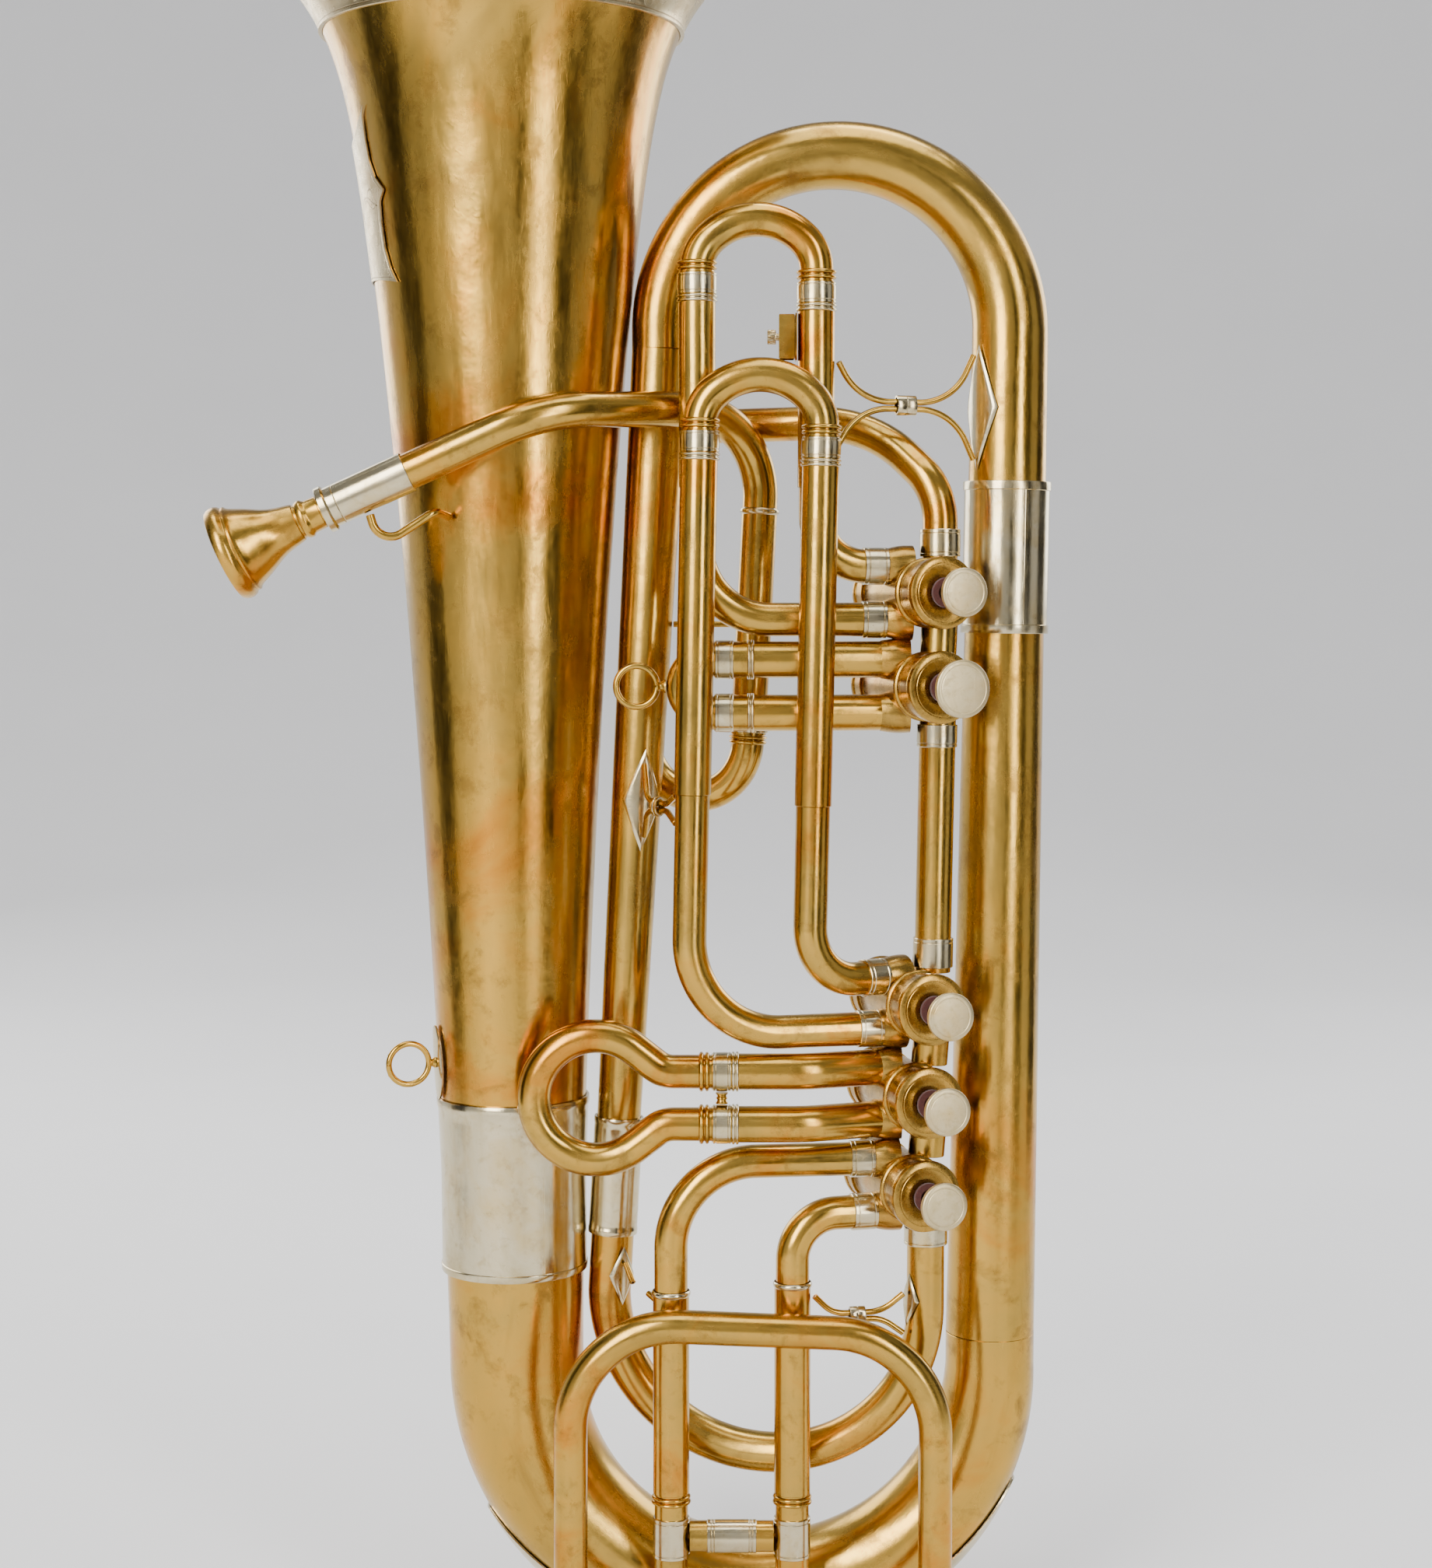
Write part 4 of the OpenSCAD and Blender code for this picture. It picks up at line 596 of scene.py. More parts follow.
s = Shape()
a, b = tuning_at(False, 423.5), tuning_at(True, 423.5)
half = (a - b).length / 2
s.tube(rounded([a + TUNE_UP * 70, a - TUNE_UP * half, b - TUNE_UP * half, b + TUNE_UP * 70],
    [0, half - 0.01, half - 0.01, 0]), TUBE, 48, bore=6.8)
for p in (a, b):
    s.lathe(p, TUNE_UP, bulge(TUBE, -2, 0.2, 1.1) + bulge(TUBE, 0.4, 2.0, 1.3), 56)
s.make("tuning_slide_look", [tubes], ["tuning_slide"])

s = Shape()
rim = -83.0
cup = [(15.9, rim + 2.2), (16.6, rim + 1.1), (17.6, rim + 0.35), (18.8, rim), (19.8, rim + 0.4), (20.6, rim + 1.5),
    (20.95, rim + 3.0), (20.9, rim + 4.6), (20.3, rim + 6.0), (19.2, rim + 6.9), (19.0, rim + 7.3), (19.3, rim + 7.7),
    (19.2, rim + 8.5), (18.4, rim + 9.0), (17.6, rim + 10.2), (16.7, rim + 12.2), (15.0, rim + 16.0), (13.2, rim + 19.5),
    (11.6, rim + 22.5), (10.3, rim + 25.8), (9.4, rim + 29.5), (8.7, rim + 33), (8.2, rim + 35.0), (7.6, rim + 35.4),
    (7.5, rim + 36.2), (7.9, rim + 36.6), (8.4, rim + 37.6), (8.5, rim + 38.6), (8.3, rim + 39.4), (7.5, rim + 40.2),
    (7.3, rim + 41.0), (7.15, -37.1), (6.9, -37), (6.2, -37), (6.15, -12)]
bowl = [(5.0, -12), (3.75, rim + 31), (4.6, rim + 27), (6.7, rim + 25), (11.0, rim + 18.9), (14.0, rim + 11),
    (14.9, rim + 7), (15.3, rim + 4), (15.9, rim + 2.2)]
s.lathe(LEAD_START, LEAD_DIR, cup + bowl, 110)
s.make("mouthpiece_look", [brass], ["mouthpiece"])

s = Shape()
r = LEAD + 0.9
s.lathe(LEAD_START, LEAD_DIR, [(6.25, -36), (r + 1.2, -36), (r + 1.4, -35.7), (r + 1.4, -33.3), (r + 1.1, -33),
    (r, -32.4), (r, -29), (r - 0.2, -28.7), (r, -28.4)] + [(r, h) for h in range(-24, 1, 6)]
    + [(r, 3.7), (r - 0.3, 4), (LEAD + 0.05, 4)], 72)
s.make("receiver_look", [nickel], ["mouthpiece_receiver"])

s = Shape()
foot = on_bell(244.5, 297, 2.6)
t = LEAD_START + LEAD_DIR * -14 + Vector((0, 0, -LEAD - 3))
s.tube(rounded([t, t + Vector((4, 0, -14)), foot + Vector((-5, -9, 2)), foot], [0, 8, 5, 0]), 1.9, 24, bore=1)
s.make("leadpipe_stay_look", [tubes], ["leadpipe_stay"])


# ---------- valves ----------
def port(i, side):
    return Vector((VALVE_X[i] - 3, -DEPTH, VALVE_Z[i] + side * RISE))


L1_TOP, L3_TOP = 652.0, 583.5
L1 = {1: Vector((VALVE_X[0] - 45, REAR_Y, L1_TOP - 26.8)), -1: Vector((VALVE_X[0] - 97, REAR_Y, L1_TOP - 22.8))}
L3_FOOT = 308.5 + 47
L3_SLANT = 4 / (L3_TOP - 30 - L3_FOOT)
L3_UP = Vector((L3_SLANT, 0, 1)).normalized()


def l3(side, z):
    return Vector((VALVE_X[2] - 45 - (0 if side > 0 else 52.5) + L3_SLANT * (z - L3_FOOT), FRONT_Y, z))


L3_MOUTH = {1: L3_TOP - 26.4, -1: L3_TOP - 23.6}
L3_STEP = {1: 397.5, -1: 402.5}
L5_NEAR, L5_FAR, L5_Y, L5_MOUTH = VALVE_X[4] - 50, VALVE_X[4] - 104, -42.0, 89.0
L5_STEP = {1: 179.5, -1: 183.5}


def corner(i, side):
    z = VALVE_Z[i] + side * RISE
    if i == 0:
        return Vector((L1[side].x, REAR_Y, z))
    if i == 2:
        return l3(side, z)
    return Vector((L5_FAR if side > 0 else L5_NEAR, L5_Y, z))


def clear_of_casing(i, start, along):
    """How far along a branch its far wall leaves the casing."""
    f, p = front(i), start - valve_at(i)
    d = 0.0
    while d < 40:
        q = p + along * d
        if (q - f * q.dot(f)).length > CASING - 1.5:
            return d
        d += 0.2
    return d


for i in range(5):
    f = front(i)
    s = Shape()
    r = CASING
    prof = [(13.4, -35), (r - 0.2, -35), (r, -34.8), (r, -26), (r - 0.15, -25.7), (r, -25.4), (r, -12), (r, 4),
        (r, 8.2), (r - 0.2, 8.5), (r, 8.8)] + bulge(r, 9, 12, 1.15) + [(r, 14.6), (r - 0.2, 14.9), (r, 15.2),
        (r, 20.4), (r - 0.2, 20.7), (r, 26.8), (r - 0.2, 27), (13.4, 27)]
    s.lathe(valve_at(i), f, prof, 80)
    for side in (1, -1):
        p = port(i, side)
        looped = i in (0, 2, 4)
        along = (corner(i, side) - p).normalized() if looped else Vector((-1, 0, 0))
        base, tip, end = (9.2, TUBE + 0.35, 10.7) if looped else (LEG + 1.0, LEG + 0.3, 12.5)
        d = min(clear_of_casing(i, p, along), end - 4)
        prof = [(mix(base, tip, k / 8) + 0.5 * sin(180 * k / 8), mix(d - 3, end, k / 8)) for k in range(9)]
        s.lathe(p, along, prof, 48)
    s.make(f"casing_{i + 1}_look", [valve], [f"casing_{i + 1}"])
    s = Shape()
    b, rad = 46.55, 12.5 if i == 1 else 10.5
    prof = [(STEM + 0.3, b - 0.35), (rad - 5, b - 0.35), (rad - 0.9, b + 0.35), (rad - 0.25, b + 0.9),
        (rad, b + 1.1), (rad, b + 2.7), (rad - 0.25, b + 3.0), (rad - 0.9, b + 3.38), (rad - 1.9, b + 3.42),
        (rad - 2.05, b + 3.3), (rad - 2.35, b + 3.3), (rad - 2.5, b + 3.44), (rad * 0.6, b + 3.58), (0, b + 3.66)]
    s.lathe(valve_at(i), f, prof, 168, knurl=(4, 5))
    s.make(f"button_{i + 1}_look", [button_top], [f"button_{i + 1}"])

s, t, w = Shape(), Shape(), Shape()
for i in range(5):
    f, r = front(i), CAP
    prof = [(CASING + 0.06, 20.95), (r - 0.2, 21), (r, 21.2), (r, 24.2), (r - 0.22, 24.4), (r, 24.6), (r, 25.2),
        (r + 0.55, 25.8), (r + 0.6, 27.6), (r + 0.3, 28.4), (r - 0.7, 29.0), (r - 2.2, 29.1), (r - 2.4, 28.95),
        (r - 2.8, 28.95), (r - 3.0, 29.1), (8.4, 29.1), (8.0, 28.9), (STEM + 0.3, 28.9), (STEM + 0.2, 27.1)]
    s.lathe(valve_at(i), f, prof, 96)
    prof = [(0, -37.05), (9, -37.05), (9.3, -36.85), (r - 2, -36.85), (r - 1, -37.0), (r + 0.4, -36.2),
        (r + 0.6, -35.6), (r + 0.6, -34.2), (r + 0.3, -33.5), (r, -33.3), (r, -27.3), (r - 0.2, -27.05),
        (CASING + 0.06, -27)]
    t.lathe(valve_at(i), f, prof, 96)
    w.lathe(valve_at(i), f, [(STEM + 0.45, 29.12), (6.2, 29.12), (6.48, 29.4), (6.48, 31.2), (6.2, 31.5),
        (STEM + 0.45, 31.5)], 56)
s.make("front_caps_look", [valve], ["front_caps"])
t.make("rear_caps_look", [valve], ["rear_caps"])
w.make("cap_felts_look", [felt], ["cap_felts"])

s = Shape()
for i in range(5):
    a = Vector((LINE_X[i], -DEPTH, VALVE_Z[i] - CASING + 1))
    b = (Vector((LINE_X[i + 1], -DEPTH, VALVE_Z[i + 1] + CASING - 1)) if i < 4
        else Vector((LINE_X[4], -DEPTH, BOW_IN_Z + 0.05)))
    n = max(2, int((a - b).length / 8))
    s.tube([mix(a, b, k / n) for k in range(n + 1)], LEG, 52, bore=7.5)
s.make("valve_tubes_look", [tubes], ["valve_tubes"])


def on_line(z):
    f = (VALVE_Z[1] - z) / (VALVE_Z[1] - VALVE_Z[2])
    return mix(Vector((LINE_X[1], -DEPTH, VALVE_Z[1])), Vector((LINE_X[2], -DEPTH, VALVE_Z[2])), f)


s = Shape()
line = (on_line(400) - on_line(350)).normalized()
s.lathe(LINE0 + UP * (VALVE_Z[0] + 22), UP, sleeve(LEG, -6, 6, 0.9, (-4.4, 4.2), TUBE + 0.3), 60)
s.lathe(on_line(VALVE_Z[1] - 22), line, sleeve(LEG, -5, 5, 0.9, (-3.4,)), 60)
s.lathe(on_line(VALVE_Z[2] + 22), line, sleeve(LEG, -6.5, 6.5, 0.9, (4.8,)), 60)
s.lathe(Vector((LINE_X[4], -DEPTH, BOW_IN_Z + 3)), UP, sleeve(LEG + 0.5, -4, 4, 1.2, (-2.6,)), 60)
for back in (False, True):
    s.lathe(tuning_at(back, STEP_Z), TUNE_UP, bulge(LEG, -1.5, 1.5, 0.85), 60)
    s.lathe(tuning_at(back, 429), TUNE_UP, sleeve(LEG, -2, 2, 0.85), 60)
for i in (0, 2, 4):
    for side in (1, -1):
        p = port(i, side)
        t = (corner(i, side) - p).normalized()
        s.lathe(p + t * 16, t, sleeve(TUBE, -5.3, 5.5, 0.75, (-3.6, 3.7), TUBE + 0.05), 60)
s.make("tube_ferrules_look", [nickel], ["tube_ferrules"])


# ---------- valve loops ----------
def start_at(i, side, far=9.2):
    p = port(i, side)
    t = (corner(i, side) - p).normalized()
    return p + t * max(clear_of_casing(i, p, t) - 2, far)


def crook(shape, a, b, up, grip, crown, height):
    fa, fb = a - up * a.dot(up), b - up * b.dot(up)
    half = (fb - fa).length / 2
    k = math.tan(math.radians(22.5))
    r = (height - k * half) / (k + k * k)
    knee = crown - height + k * r
    shape.tube(rounded([a - up * grip, fa + up * knee, (fa + fb) / 2 + up * (knee + half), fb + up * knee,
        b - up * grip], [0, r, half * math.sqrt(2) - k * r - 0.01, r, 0]), TUBE, 52, bore=6.8)
    for p in (a, b):
        shape.lathe(p, up, bulge(TUBE, 0.7, 2.7, 1.25) + bulge(TUBE, 2.9, 5.0, 1.35), 64)


s = Shape()
for side, r in ((1, 22), (-1, 32)):
    foot = Vector((L1[side].x, REAR_Y, VALVE_Z[0] + 46))
    s.tube(rounded([start_at(0, side), corner(0, side), foot], [0, r, 0]), TUBE, 52, bore=6.8)
    n = 10
    s.tube([mix(foot + UP * 0.02, L1[side], k / n) for k in range(n + 1)], LEG, 52, bore=7.5)
s.make("loop_1_legs_look", [tubes], ["loop_1_legs"])
s = Shape()
crook(s, L1[1], L1[-1], UP, 60, L1_TOP, 21.6)
s.make("loop_1_crook_look", [tubes], ["loop_1_crook"])

s = Shape()
for side, r in ((1, 24), (-1, 42)):
    step = l3(side, L3_STEP[side])
    s.tube(rounded([start_at(2, side), corner(2, side), step], [0, r, 0]), TUBE, 52, bore=6.8)
    n = 18
    s.tube([mix(step + L3_UP * 0.02, l3(side, L3_MOUTH[side]), k / n) for k in range(n + 1)], LEG, 52, bore=7.5)
s.make("loop_3_legs_look", [tubes], ["loop_3_legs"])
s = Shape()
a, b = l3(1, L3_MOUTH[1]), l3(-1, L3_MOUTH[-1])
mid = (a + b) / 2
crook(s, a, b, L3_UP, 90, (mid - UP * (mid.z - L3_TOP)).dot(L3_UP), 21.6)
s.make("loop_3_crook_look", [tubes], ["loop_3_crook"])


def slide2(side):
    return Vector((VALVE_X[1] - 89, REAR_Y, VALVE_Z[1] + side * RISE))


s = Shape()
for side in (1, -1):
    s.tube(rounded([port(1, side) - Vector((11, 0, 0)), slide2(side) + Vector((42, 0, 0)), slide2(side)], [0, 50, 0]),
        LEG, 52, bore=7.5)
s.make("slide_2_legs_look", [tubes], ["slide_2_legs"])
s = Shape()
crook(s, slide2(1), slide2(-1), Vector((-1, 0, 0)), 36, 2 + RISE - slide2(1).x, RISE)
s.make("slide_2_crook_look", [tubes], ["slide_2_crook"])
PULL = Vector((slide2(1).x - 2 - RISE - TUBE, REAR_Y, VALVE_Z[1]))
s = Shape()
s.lathe(PULL, (-1, 0, 0), [(0.1, 0.1), (3, 0.1), (2.9, 0.8), (2.1, 1.6), (1.8, 2.6), (2.4, 3.6), (2.0, 4.35), (0.1, 4.4)], 40)
s.tube([PULL + Vector((-13 + 9 * cos(a), 0, 9 * sin(a))) for a in range(2, 359, 4)], 1.45, 24, bore=0.6)
s.make("pull_ring_look", [tubes], ["pull_ring"])


def slide4(side):
    return Vector((VALVE_X[3] - 87, -46, VALVE_Z[3] + 0.5 + side * RISE))


s = Shape()
for side in (1, -1):
    s.tube(rounded([port(3, side) - Vector((11, 1.5, 0)), slide4(side) + Vector((41, 0, 0)), slide4(side)], [0, 30, 0]),
        LEG, 52, bore=7.5)
s.make("slide_4_legs_look", [tubes], ["slide_4_legs"])
c4 = Vector((slide4(1).x - 51, -46, VALVE_Z[3] + 0.5))
d = 2 * (90 + 38) / 5
arcs = [c4 + Vector((cos(52 + (k + 0.5) * d), 0, sin(52 + (k + 0.5) * d))) * 27.5 / cos(d / 2) for k in range(5)]
exit_up = c4 + Vector((cos(52), 0, sin(52))) * 27.5
slope = Vector((cos(-38), 0, sin(-38)))
knee = exit_up + slope * ((exit_up.z - slide4(1).z) / -slope.z)
low = Vector((knee.x, -46, 2 * c4.z - knee.z))
s = Shape()
s.tube(rounded([slide4(1) + Vector((32, 0, 0)), knee] + arcs + [low, slide4(-1) + Vector((32, 0, 0))],
    [0, 13] + [27.5] * 5 + [13, 0]), TUBE, 52, bore=6.8)
for side in (1, -1):
    s.lathe(slide4(side), (-1, 0, 0), bulge(TUBE, 1.0, 3.2, 1.25) + bulge(TUBE, 3.4, 5.8, 1.35), 64)
s.make("slide_4_crook_look", [tubes], ["slide_4_crook"])

s = Shape()
for x, side, r in ((L5_NEAR, -1, 20), (L5_FAR, 1, 38)):
    top = Vector((x, L5_Y, L5_STEP[side]))
    s.tube(rounded([start_at(4, side), corner(4, side), top], [0, r, 0]), TUBE, 52, bore=6.8)
    s.tube([mix(top - UP * 0.02, Vector((x, L5_Y, L5_MOUTH)), k / 12) for k in range(13)], LEG, 52, bore=7.5)
s.make("loop_5_legs_look", [tubes], ["loop_5_legs"])

ARCH_Y, ARCH_L, ARCH_R, FOLD, CROSS = -60.0, L5_FAR - 44, L5_NEAR + 62.5, 54.0, 69.0
nf, ff = math.hypot(ARCH_R - L5_NEAR, 18) / 2, math.hypot(L5_FAR - ARCH_L, 18) / 2
s = Shape()
s.tube(rounded([(L5_NEAR, L5_Y, L5_MOUTH + 60), (L5_NEAR, L5_Y, FOLD - nf), (ARCH_R, ARCH_Y, FOLD - nf),
    (ARCH_R, ARCH_Y, 164.5), (ARCH_L, ARCH_Y, 171), (ARCH_L, ARCH_Y, FOLD - ff), (L5_FAR, L5_Y, FOLD - ff),
    (L5_FAR, L5_Y, L5_MOUTH + 60)], [0, nf - 0.01, nf - 0.01, 46, 46, ff - 0.01, ff - 0.01, 0]), TUBE, 52, bore=6.8)
for x in (L5_NEAR, L5_FAR):
    s.lathe((x, L5_Y, L5_MOUTH), -UP, bulge(TUBE, 0.7, 2.7, 1.25) + bulge(TUBE, 2.9, 5.0, 1.35), 64)
cr = (14.9 - 1) / 2
s.tube([Vector((mix(L5_FAR + 8.3, L5_NEAR - 8.3, k / 6), L5_Y, CROSS)) for k in range(7)], cr, 48, bore=5)
s.make("loop_5_crook_look", [tubes], ["loop_5_crook"])

s = Shape()
for x in (L5_NEAR, L5_FAR):
    s.lathe((x, L5_Y, CROSS), UP, sleeve(TUBE, -9, 9, 0.75, (-7.3, 7.3), TUBE + 0.05), 64)
mid = Vector(((L5_NEAR + L5_FAR) / 2, L5_Y, CROSS))
s.lathe(mid, (1, 0, 0), sleeve(cr, -11, 11, 0.5, (-9.2, -7.9, 7.9, 9.2), cr + 0.05), 64)
s.make("loop_5_sleeves_look", [nickel], ["loop_5_sleeves"])

s = Shape()
for p, up in ((L1[1], UP), (L1[-1], UP), (l3(1, L3_MOUTH[1]), L3_UP), (l3(-1, L3_MOUTH[-1]), L3_UP)):
    s.lathe(p, up, sleeve(LEG, -9.5, -0.5, 0.55, (-8.3, -1.7), LEG + 0.05), 64)
    s.lathe(p, up, bulge(LEG + 0.05, -13.1, -11.5, 0.8) + bulge(LEG + 0.05, -11.3, -9.7, 0.85), 64)
for side in (1, -1):
    s.lathe(slide2(side), (1, 0, 0), sleeve(LEG, 0.4, 8.4, 0.55, (1.7, 7.2), LEG + 0.05), 64)
    s.lathe(slide2(side), (1, 0, 0), bulge(LEG + 0.05, 14.5, 15.9, 0.8) + bulge(LEG + 0.05, 16.1, 17.5, 0.85), 64)
    s.lathe(slide4(side), (1, 0, 0), sleeve(LEG, 0.4, 8.4, 0.55, (1.6, 7.2), LEG + 0.05), 64)
    s.lathe(slide4(side), (1, 0, 0), bulge(LEG + 0.05, 8.7, 10.2, 0.8) + bulge(LEG + 0.05, 10.4, 11.9, 0.85), 64)
    x = L5_FAR if side > 0 else L5_NEAR
    s.lathe((x, L5_Y, L5_STEP[side]), UP, bulge(LEG + 0.05, -1.3, 1.3, 0.65), 64)
s.make("loop_ferrules_look", [nickel], ["loop_ferrules"])

# ---------- stays and fittings ----------
brass_stays, feet = Shape(), Shape()


def twin_rods(a, b, c, d, fs, ts, r1, r2):
    for side in (1, -1):
        brass_stays.tube(rounded([a + UP * side * fs, b + UP * side * 1.5, c + UP * side * 1.5, d + UP * side * ts],
            [0, r1, r2, 0], 1.0, 3.0), 1.4, 20, bore=0.7, lip=0.1)


def clasp(b, c, length):
    mid, v = (b + c) / 2, (c - b).normalized()
    x = v.cross(UP).normalized()
    rows = []
    for h, k in ((-length / 2, 0.80), (-length / 2, 0.97), (-length / 2 + 0.3, 1.0), (-0.2, 1.0), (0, 0.96), (0.2, 1.0),
        (length / 2 - 0.3, 1.0), (length / 2, 0.97), (length / 2, 0.80)):
        rows.append([mid + v * h + x * 2.9 * k * cos(a) + UP * 4.4 * k * sin(a) for a in range(0, 360, 9)])
    feet.rows(rows, [[tuple(q * MM) for q in row] for row in rows])


def diamond(c, axis, r, angle, height, spread):
    axis = Vector(axis).normalized()
    e = (Vector((1, 0, 0)) - axis * axis.x).normalized()
    g = axis.cross(e)

    def point(u, v, lift):
        half = max((1 - abs(v)) * spread / 2, 0.02)
        bev = min(1.0, (1 - abs(u)) * half / 1.1) if lift > 0.5 else 1.0
        a = math.radians(angle) + u * half / (r + 0.5)
        rr = r + 0.52 + lift * (0.35 + 0.65 * bev) * 0.97
        return c + axis * v * height / 2 + (e * math.cos(a) + g * math.sin(a)) * rr

    feet.sheet(point, 16, 44, 0.88, flat=None)


rf, ax = riser(572.5), (RISER_HEAD - RISER_FOOT).normalized()
uf = Vector((rf[0], 0, 572.5))
ufr = riser(544.5)[1]
ua = uf + Vector((cos(215), sin(215), 0)) * (ufr + 3.4)
ub, uc = Vector((uf.x - 27, -18, 572.5)), Vector((L1[1].x + 19, -31, 572.5))
twin_rods(ua, ub, uc, Vector((L1[1].x + LEG + 1.7, REAR_Y, 572.5)), 23, 18, 26, 26)
diamond(uf, ax, ufr, 215, 56, 21)
clasp(ub, uc, 9)
lf = Vector((main(397)[0], 0, 397))
lfr = main(419)[1]
la = lf + Vector((cos(-74), sin(-74), 0)) * (lfr + 3.1)
ld = l3(-1, 395.4) + Vector((-0.75, 0.66, 0)) * (LEG + 1.7)
lb, lc = Vector((la.x + 1.8, la.y - 11, 395.4)), Vector((ld.x - 4, ld.y + 13, 395.4))
twin_rods(la, lb, lc, ld, 16, 6, 10, 9)
diamond(lf, (MAIN_HEAD - MAIN_FOOT).normalized(), lfr, -74, 46, 19)
clasp(lb, lc, 4)
of = Vector((MAIN_FOOT.x - 1.35, 0, 179))
oa = of + Vector((cos(-62), sin(-62), 0)) * 13.2
od = Vector((L5_FAR, L5_Y, 174.5)) + Vector((-0.72, 0.69, 0)) * (LEG + 1.7)
diamond(of, (1.6, 0, 53.7), 9.9, -62, 27, 13)
ob, oc = Vector((oa.x + 3.5, oa.y - 7, 178)), Vector((od.x - 4, od.y + 6, 176))
brass_stays.tube([oa + UP * 6, ob], 1.4, 20, bore=0.7, lip=0.1)
brass_stays.tube([oc + Vector((0.6, -0.6, 0)), od], 1.4, 20, bore=0.7, lip=0.1)
ef = Vector((LINE_X[4], -DEPTH, 174))
ea = ef + Vector((cos(210), sin(210), -0.45)) * (LEG + 3.8)
eb, ec = Vector((ef.x - 20, -36, 168)), Vector((L5_NEAR + 18, -40, 168))
twin_rods(ea, eb, ec, Vector((L5_NEAR + LEG + 1.7, L5_Y, 168)), 9, 10, 16, 14)
diamond(ef, (0.06, 0, 1), LEG + 0.6, 210, 24, 12)
clasp(eb, ec, 7)
bar = [Vector((main(476)[0] + main(476)[1] + 0.6, -1, 476)), tuning_at(False, 476) - Vector((LEG + 0.4, 1, 0))]
brass_stays.tube(bar, 1.4, 20, bore=0.7, lip=0.1)
post = Vector((slide4(1).x + 4.4, -46, 0))
lo, hi = slide4(-1).z + LEG + 1.2, slide4(1).z - LEG - 1.2
brass_stays.lathe(post, UP, [(0.1, lo), (2.7, lo), (2.7, lo + 0.5), (2.2, lo + 1.1), (1.9, lo + 2), (2.3, (lo + hi) / 2 - 0.5),
    (2.6, (lo + hi) / 2), (2.3, (lo + hi) / 2 + 0.5), (1.9, hi - 2), (2.2, hi - 1.1), (2.7, hi - 0.5), (2.7, hi), (0.1, hi)], 32)
brass_stays.make("tube_stays_look", [tubes], ["tube_stays"])


def ring_plate(u, v, lift):
    x = 6.8 * math.sqrt(max(1 - v * v, 0.0004)) * u
    dome = 1 - 0.35 * max(abs(u), abs(v)) ** 6
    return on_bell(200 + math.degrees(x / bell_r(52)), 52 + 17 * v, 1.0 + lift * dome)


feet.sheet(ring_plate, 16, 40, 1.15)
feet.make("stay_feet_look", [nickel], ["stay_feet"])

s = Shape()
rc = on_bell(200, 52, 2.3)
rdir = (on_bell(200, 52, 12) - on_bell(200, 52, 0)).normalized()
s.lathe(rc, rdir, [(0.1, 0), (2.5, 0), (2.4, 0.7), (1.7, 1.5), (2.2, 2.6), (1.4, 2.95), (0.1, 3)], 36)
s.tube([rc + rdir * (12.2 + 9.2 * cos(a)) + UP * 9.2 * sin(a) for a in range(0, 357, 4)] + [rc + rdir * 21.4], 1.38, 24,
    bore=0.6)
s.make("strap_ring_look", [tubes], ["strap_ring"])

lyre = Vector((L1[1].x - LEG - 0.3 - 8, REAR_Y, L1[1].z - 24))
s = Shape()
rows = []
for z, g in ((-9.6, 0.3), (-9.3, 0.0), (9.3, 0.0), (9.6, 0.3), (9.6, 1.1), (-9.5, 1.1)):
    box = ((g, -4.5 + g), (g, 4.5 - g), (6.8 - g, 4.5 - g), (6.8 - g, -4.5 + g))
    rows.append([lyre + Vector((x, y, z)) for x, y in box])
s.rows(rows, [[tuple(q * MM) for q in row] for row in rows])


def saddle(u, v, lift):
    return lyre + Vector((7.9 - lift * (1 - 0.3 * max(abs(u), abs(v)) ** 5), 4.9 * u * math.sqrt(1 - 0.5 * v * v), 10.2 * v))


s.sheet(saddle, 12, 24, 1.1)
s.make("lyre_socket_look", [tubes], ["lyre_socket"])
s = Shape()
s.lathe(lyre, (-1, 0, 0), [(0.1, -0.7), (1.5, -0.7), (1.5, 1.3), (3.0, 1.3), (3.18, 1.6), (3.18, 4.7), (2.9, 5.0), (1.5, 5.15),
    (0.1, 5.18)], 60, knurl=(4, 5))
s.make("lyre_screw_look", [nickel], ["lyre_screw"])

for name, o in frame["nodes"].items():
    o.data.materials.clear()
    kind = next(q["material_slot"] for q in frame["record"]["subparts"] if q["node"] == name)
    o.data.materials.append({"brass": tubes, "nickel_silver": nickel, "red_felt": felt, "spring_steel": steel}[kind])


# ---------- stage ----------
def plain(name, colour, rough):
    m = bpy.data.materials.new(name)
    m.use_nodes = True
    nt = m.node_tree
    pos = add(nt, "ShaderNodeTexCoord").outputs["Object"]
    tone = ramp(nt, noise_of(nt, pos, 3.0, 3.0), [(0.3, tuple(c * 0.97 for c in colour)), (0.7, colour)])
    nt.links.new(tone, nt.nodes["Principled BSDF"].inputs["Base Color"])
    nt.nodes["Principled BSDF"].inputs["Roughness"].default_value = rough
    return m


def stage_mesh(name, verts, faces, material):
    me = bpy.data.meshes.new(name)
    me.from_pydata(verts, [], faces)
    me.materials.append(material)
    me.shade_smooth()
    o = bpy.data.objects.new(name, me)
    bpy.context.scene.collection.objects.link(o)
    return o


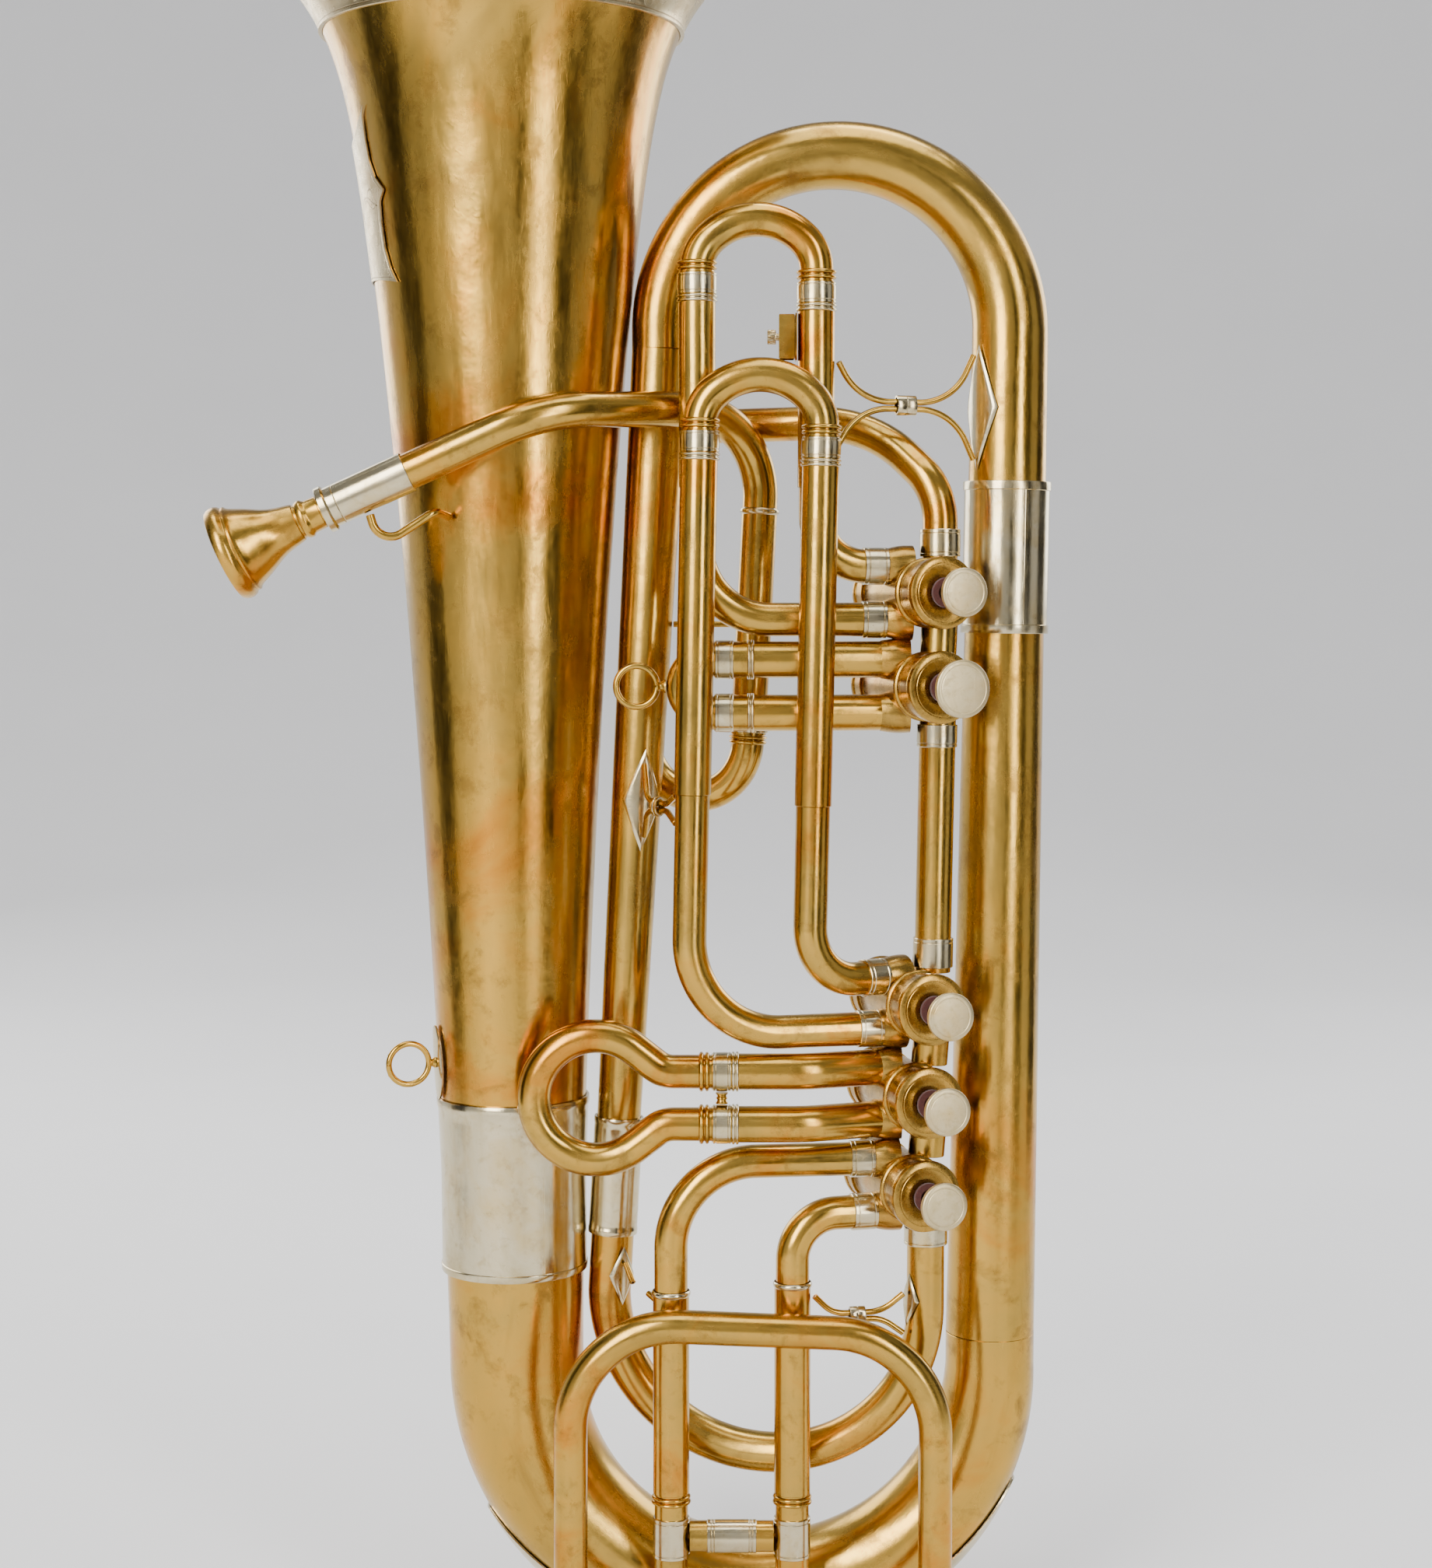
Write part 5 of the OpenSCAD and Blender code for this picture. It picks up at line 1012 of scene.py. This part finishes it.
FLAT_R, CURVE, WALL_TOP, SIDES = 1.7, 2.4, 3.2, 96
ring = [(0.001, 0.0), (FLAT_R, 0.0)] + [(FLAT_R + CURVE * sin(a), CURVE * (1 - cos(a))) for a in range(9, 91, 9)]
ring.append((FLAT_R + CURVE, WALL_TOP))
verts = [(r * cos(360 * k / SIDES), r * sin(360 * k / SIDES), z - 0.0003) for r, z in ring for k in range(SIDES)]
faces = [(i * SIDES + k, i * SIDES + (k + 1) % SIDES, (i + 1) * SIDES + (k + 1) % SIDES, (i + 1) * SIDES + k)
    for i in range(len(ring) - 1) for k in range(SIDES)]
stage_mesh("floor", verts, faces, plain("paper", (0.84, 0.84, 0.85), 0.9))


def flag(name, x, y, z, w, h, turn):
    c = [(-w / 2, 0, -h / 2), (w / 2, 0, -h / 2), (w / 2, 0, h / 2), (-w / 2, 0, h / 2)]
    o = stage_mesh(name, c, [(0, 1, 2, 3)], plain(name + "_black", (0.012, 0.011, 0.010), 1.0))
    o.location = (x, y, z)
    o.rotation_euler = (0, 0, math.radians(turn))
    o.visible_camera = False
    return o


flag("flag_middle", 0.36, -1.36, 0.55, 0.26, 1.3, 14)
flag("flag_right", 1.02, -0.72, 0.55, 0.52, 1.4, 56)
flag("flag_far_right", 1.25, 0.30, 0.55, 0.6, 1.3, 100)
flag("flag_left", -1.22, -0.10, 0.55, 0.55, 1.4, -84)


def soft_box(name, place, aim, w, h, power, tint=(1, 1, 1)):
    data = bpy.data.lights.new(name, "AREA")
    data.shape, data.size, data.size_y, data.energy, data.color = "RECTANGLE", w, h, power, tint
    o = bpy.data.objects.new(name, data)
    bpy.context.scene.collection.objects.link(o)
    o.location = place
    o.rotation_mode = "QUATERNION"
    o.rotation_quaternion = (Vector(place) - Vector(aim)).to_track_quat("Z", "Y")
    o.visible_camera = False


soft_box("key", (-0.95, -1.7, 1.25), (-0.05, 0, 0.4), 0.8, 1.6, 52, (1.0, 0.97, 0.92))
soft_box("fill", (1.05, -1.6, 0.9), (0.05, 0, 0.4), 0.35, 1.5, 18, (1.0, 0.97, 0.93))
soft_box("top", (0.1, -0.2, 2.3), (0, 0, 0.3), 1.6, 1.4, 24)
soft_box("back_left", (-1.2, 1.5, 1.1), (0, 0, 0.4), 0.9, 1.3, 16)
soft_box("back_right", (1.3, 1.4, 1.1), (0, 0, 0.4), 0.9, 1.3, 16)
soft_box("backdrop", (0, 0.5, 2.2), (0, 2.4, 0.6), 1.8, 0.8, 34)

world = bpy.data.worlds.new("studio")
bpy.context.scene.world = world
world.use_nodes = True
world.node_tree.nodes["Background"].inputs[0].default_value = (0.80, 0.81, 0.83, 1)
world.node_tree.nodes["Background"].inputs[1].default_value = 0.36

cam_data = bpy.data.cameras.new("camera")
camera = bpy.data.objects.new("camera", cam_data)
bpy.context.scene.collection.objects.link(camera)
cam_data.sensor_width = 36
cam_data.lens = 60.7
camera.location = (-0.0172, -1.2, 0.484)
camera.rotation_euler = (math.radians(90 - 3.84), 0, 0)
bpy.context.scene.camera = camera
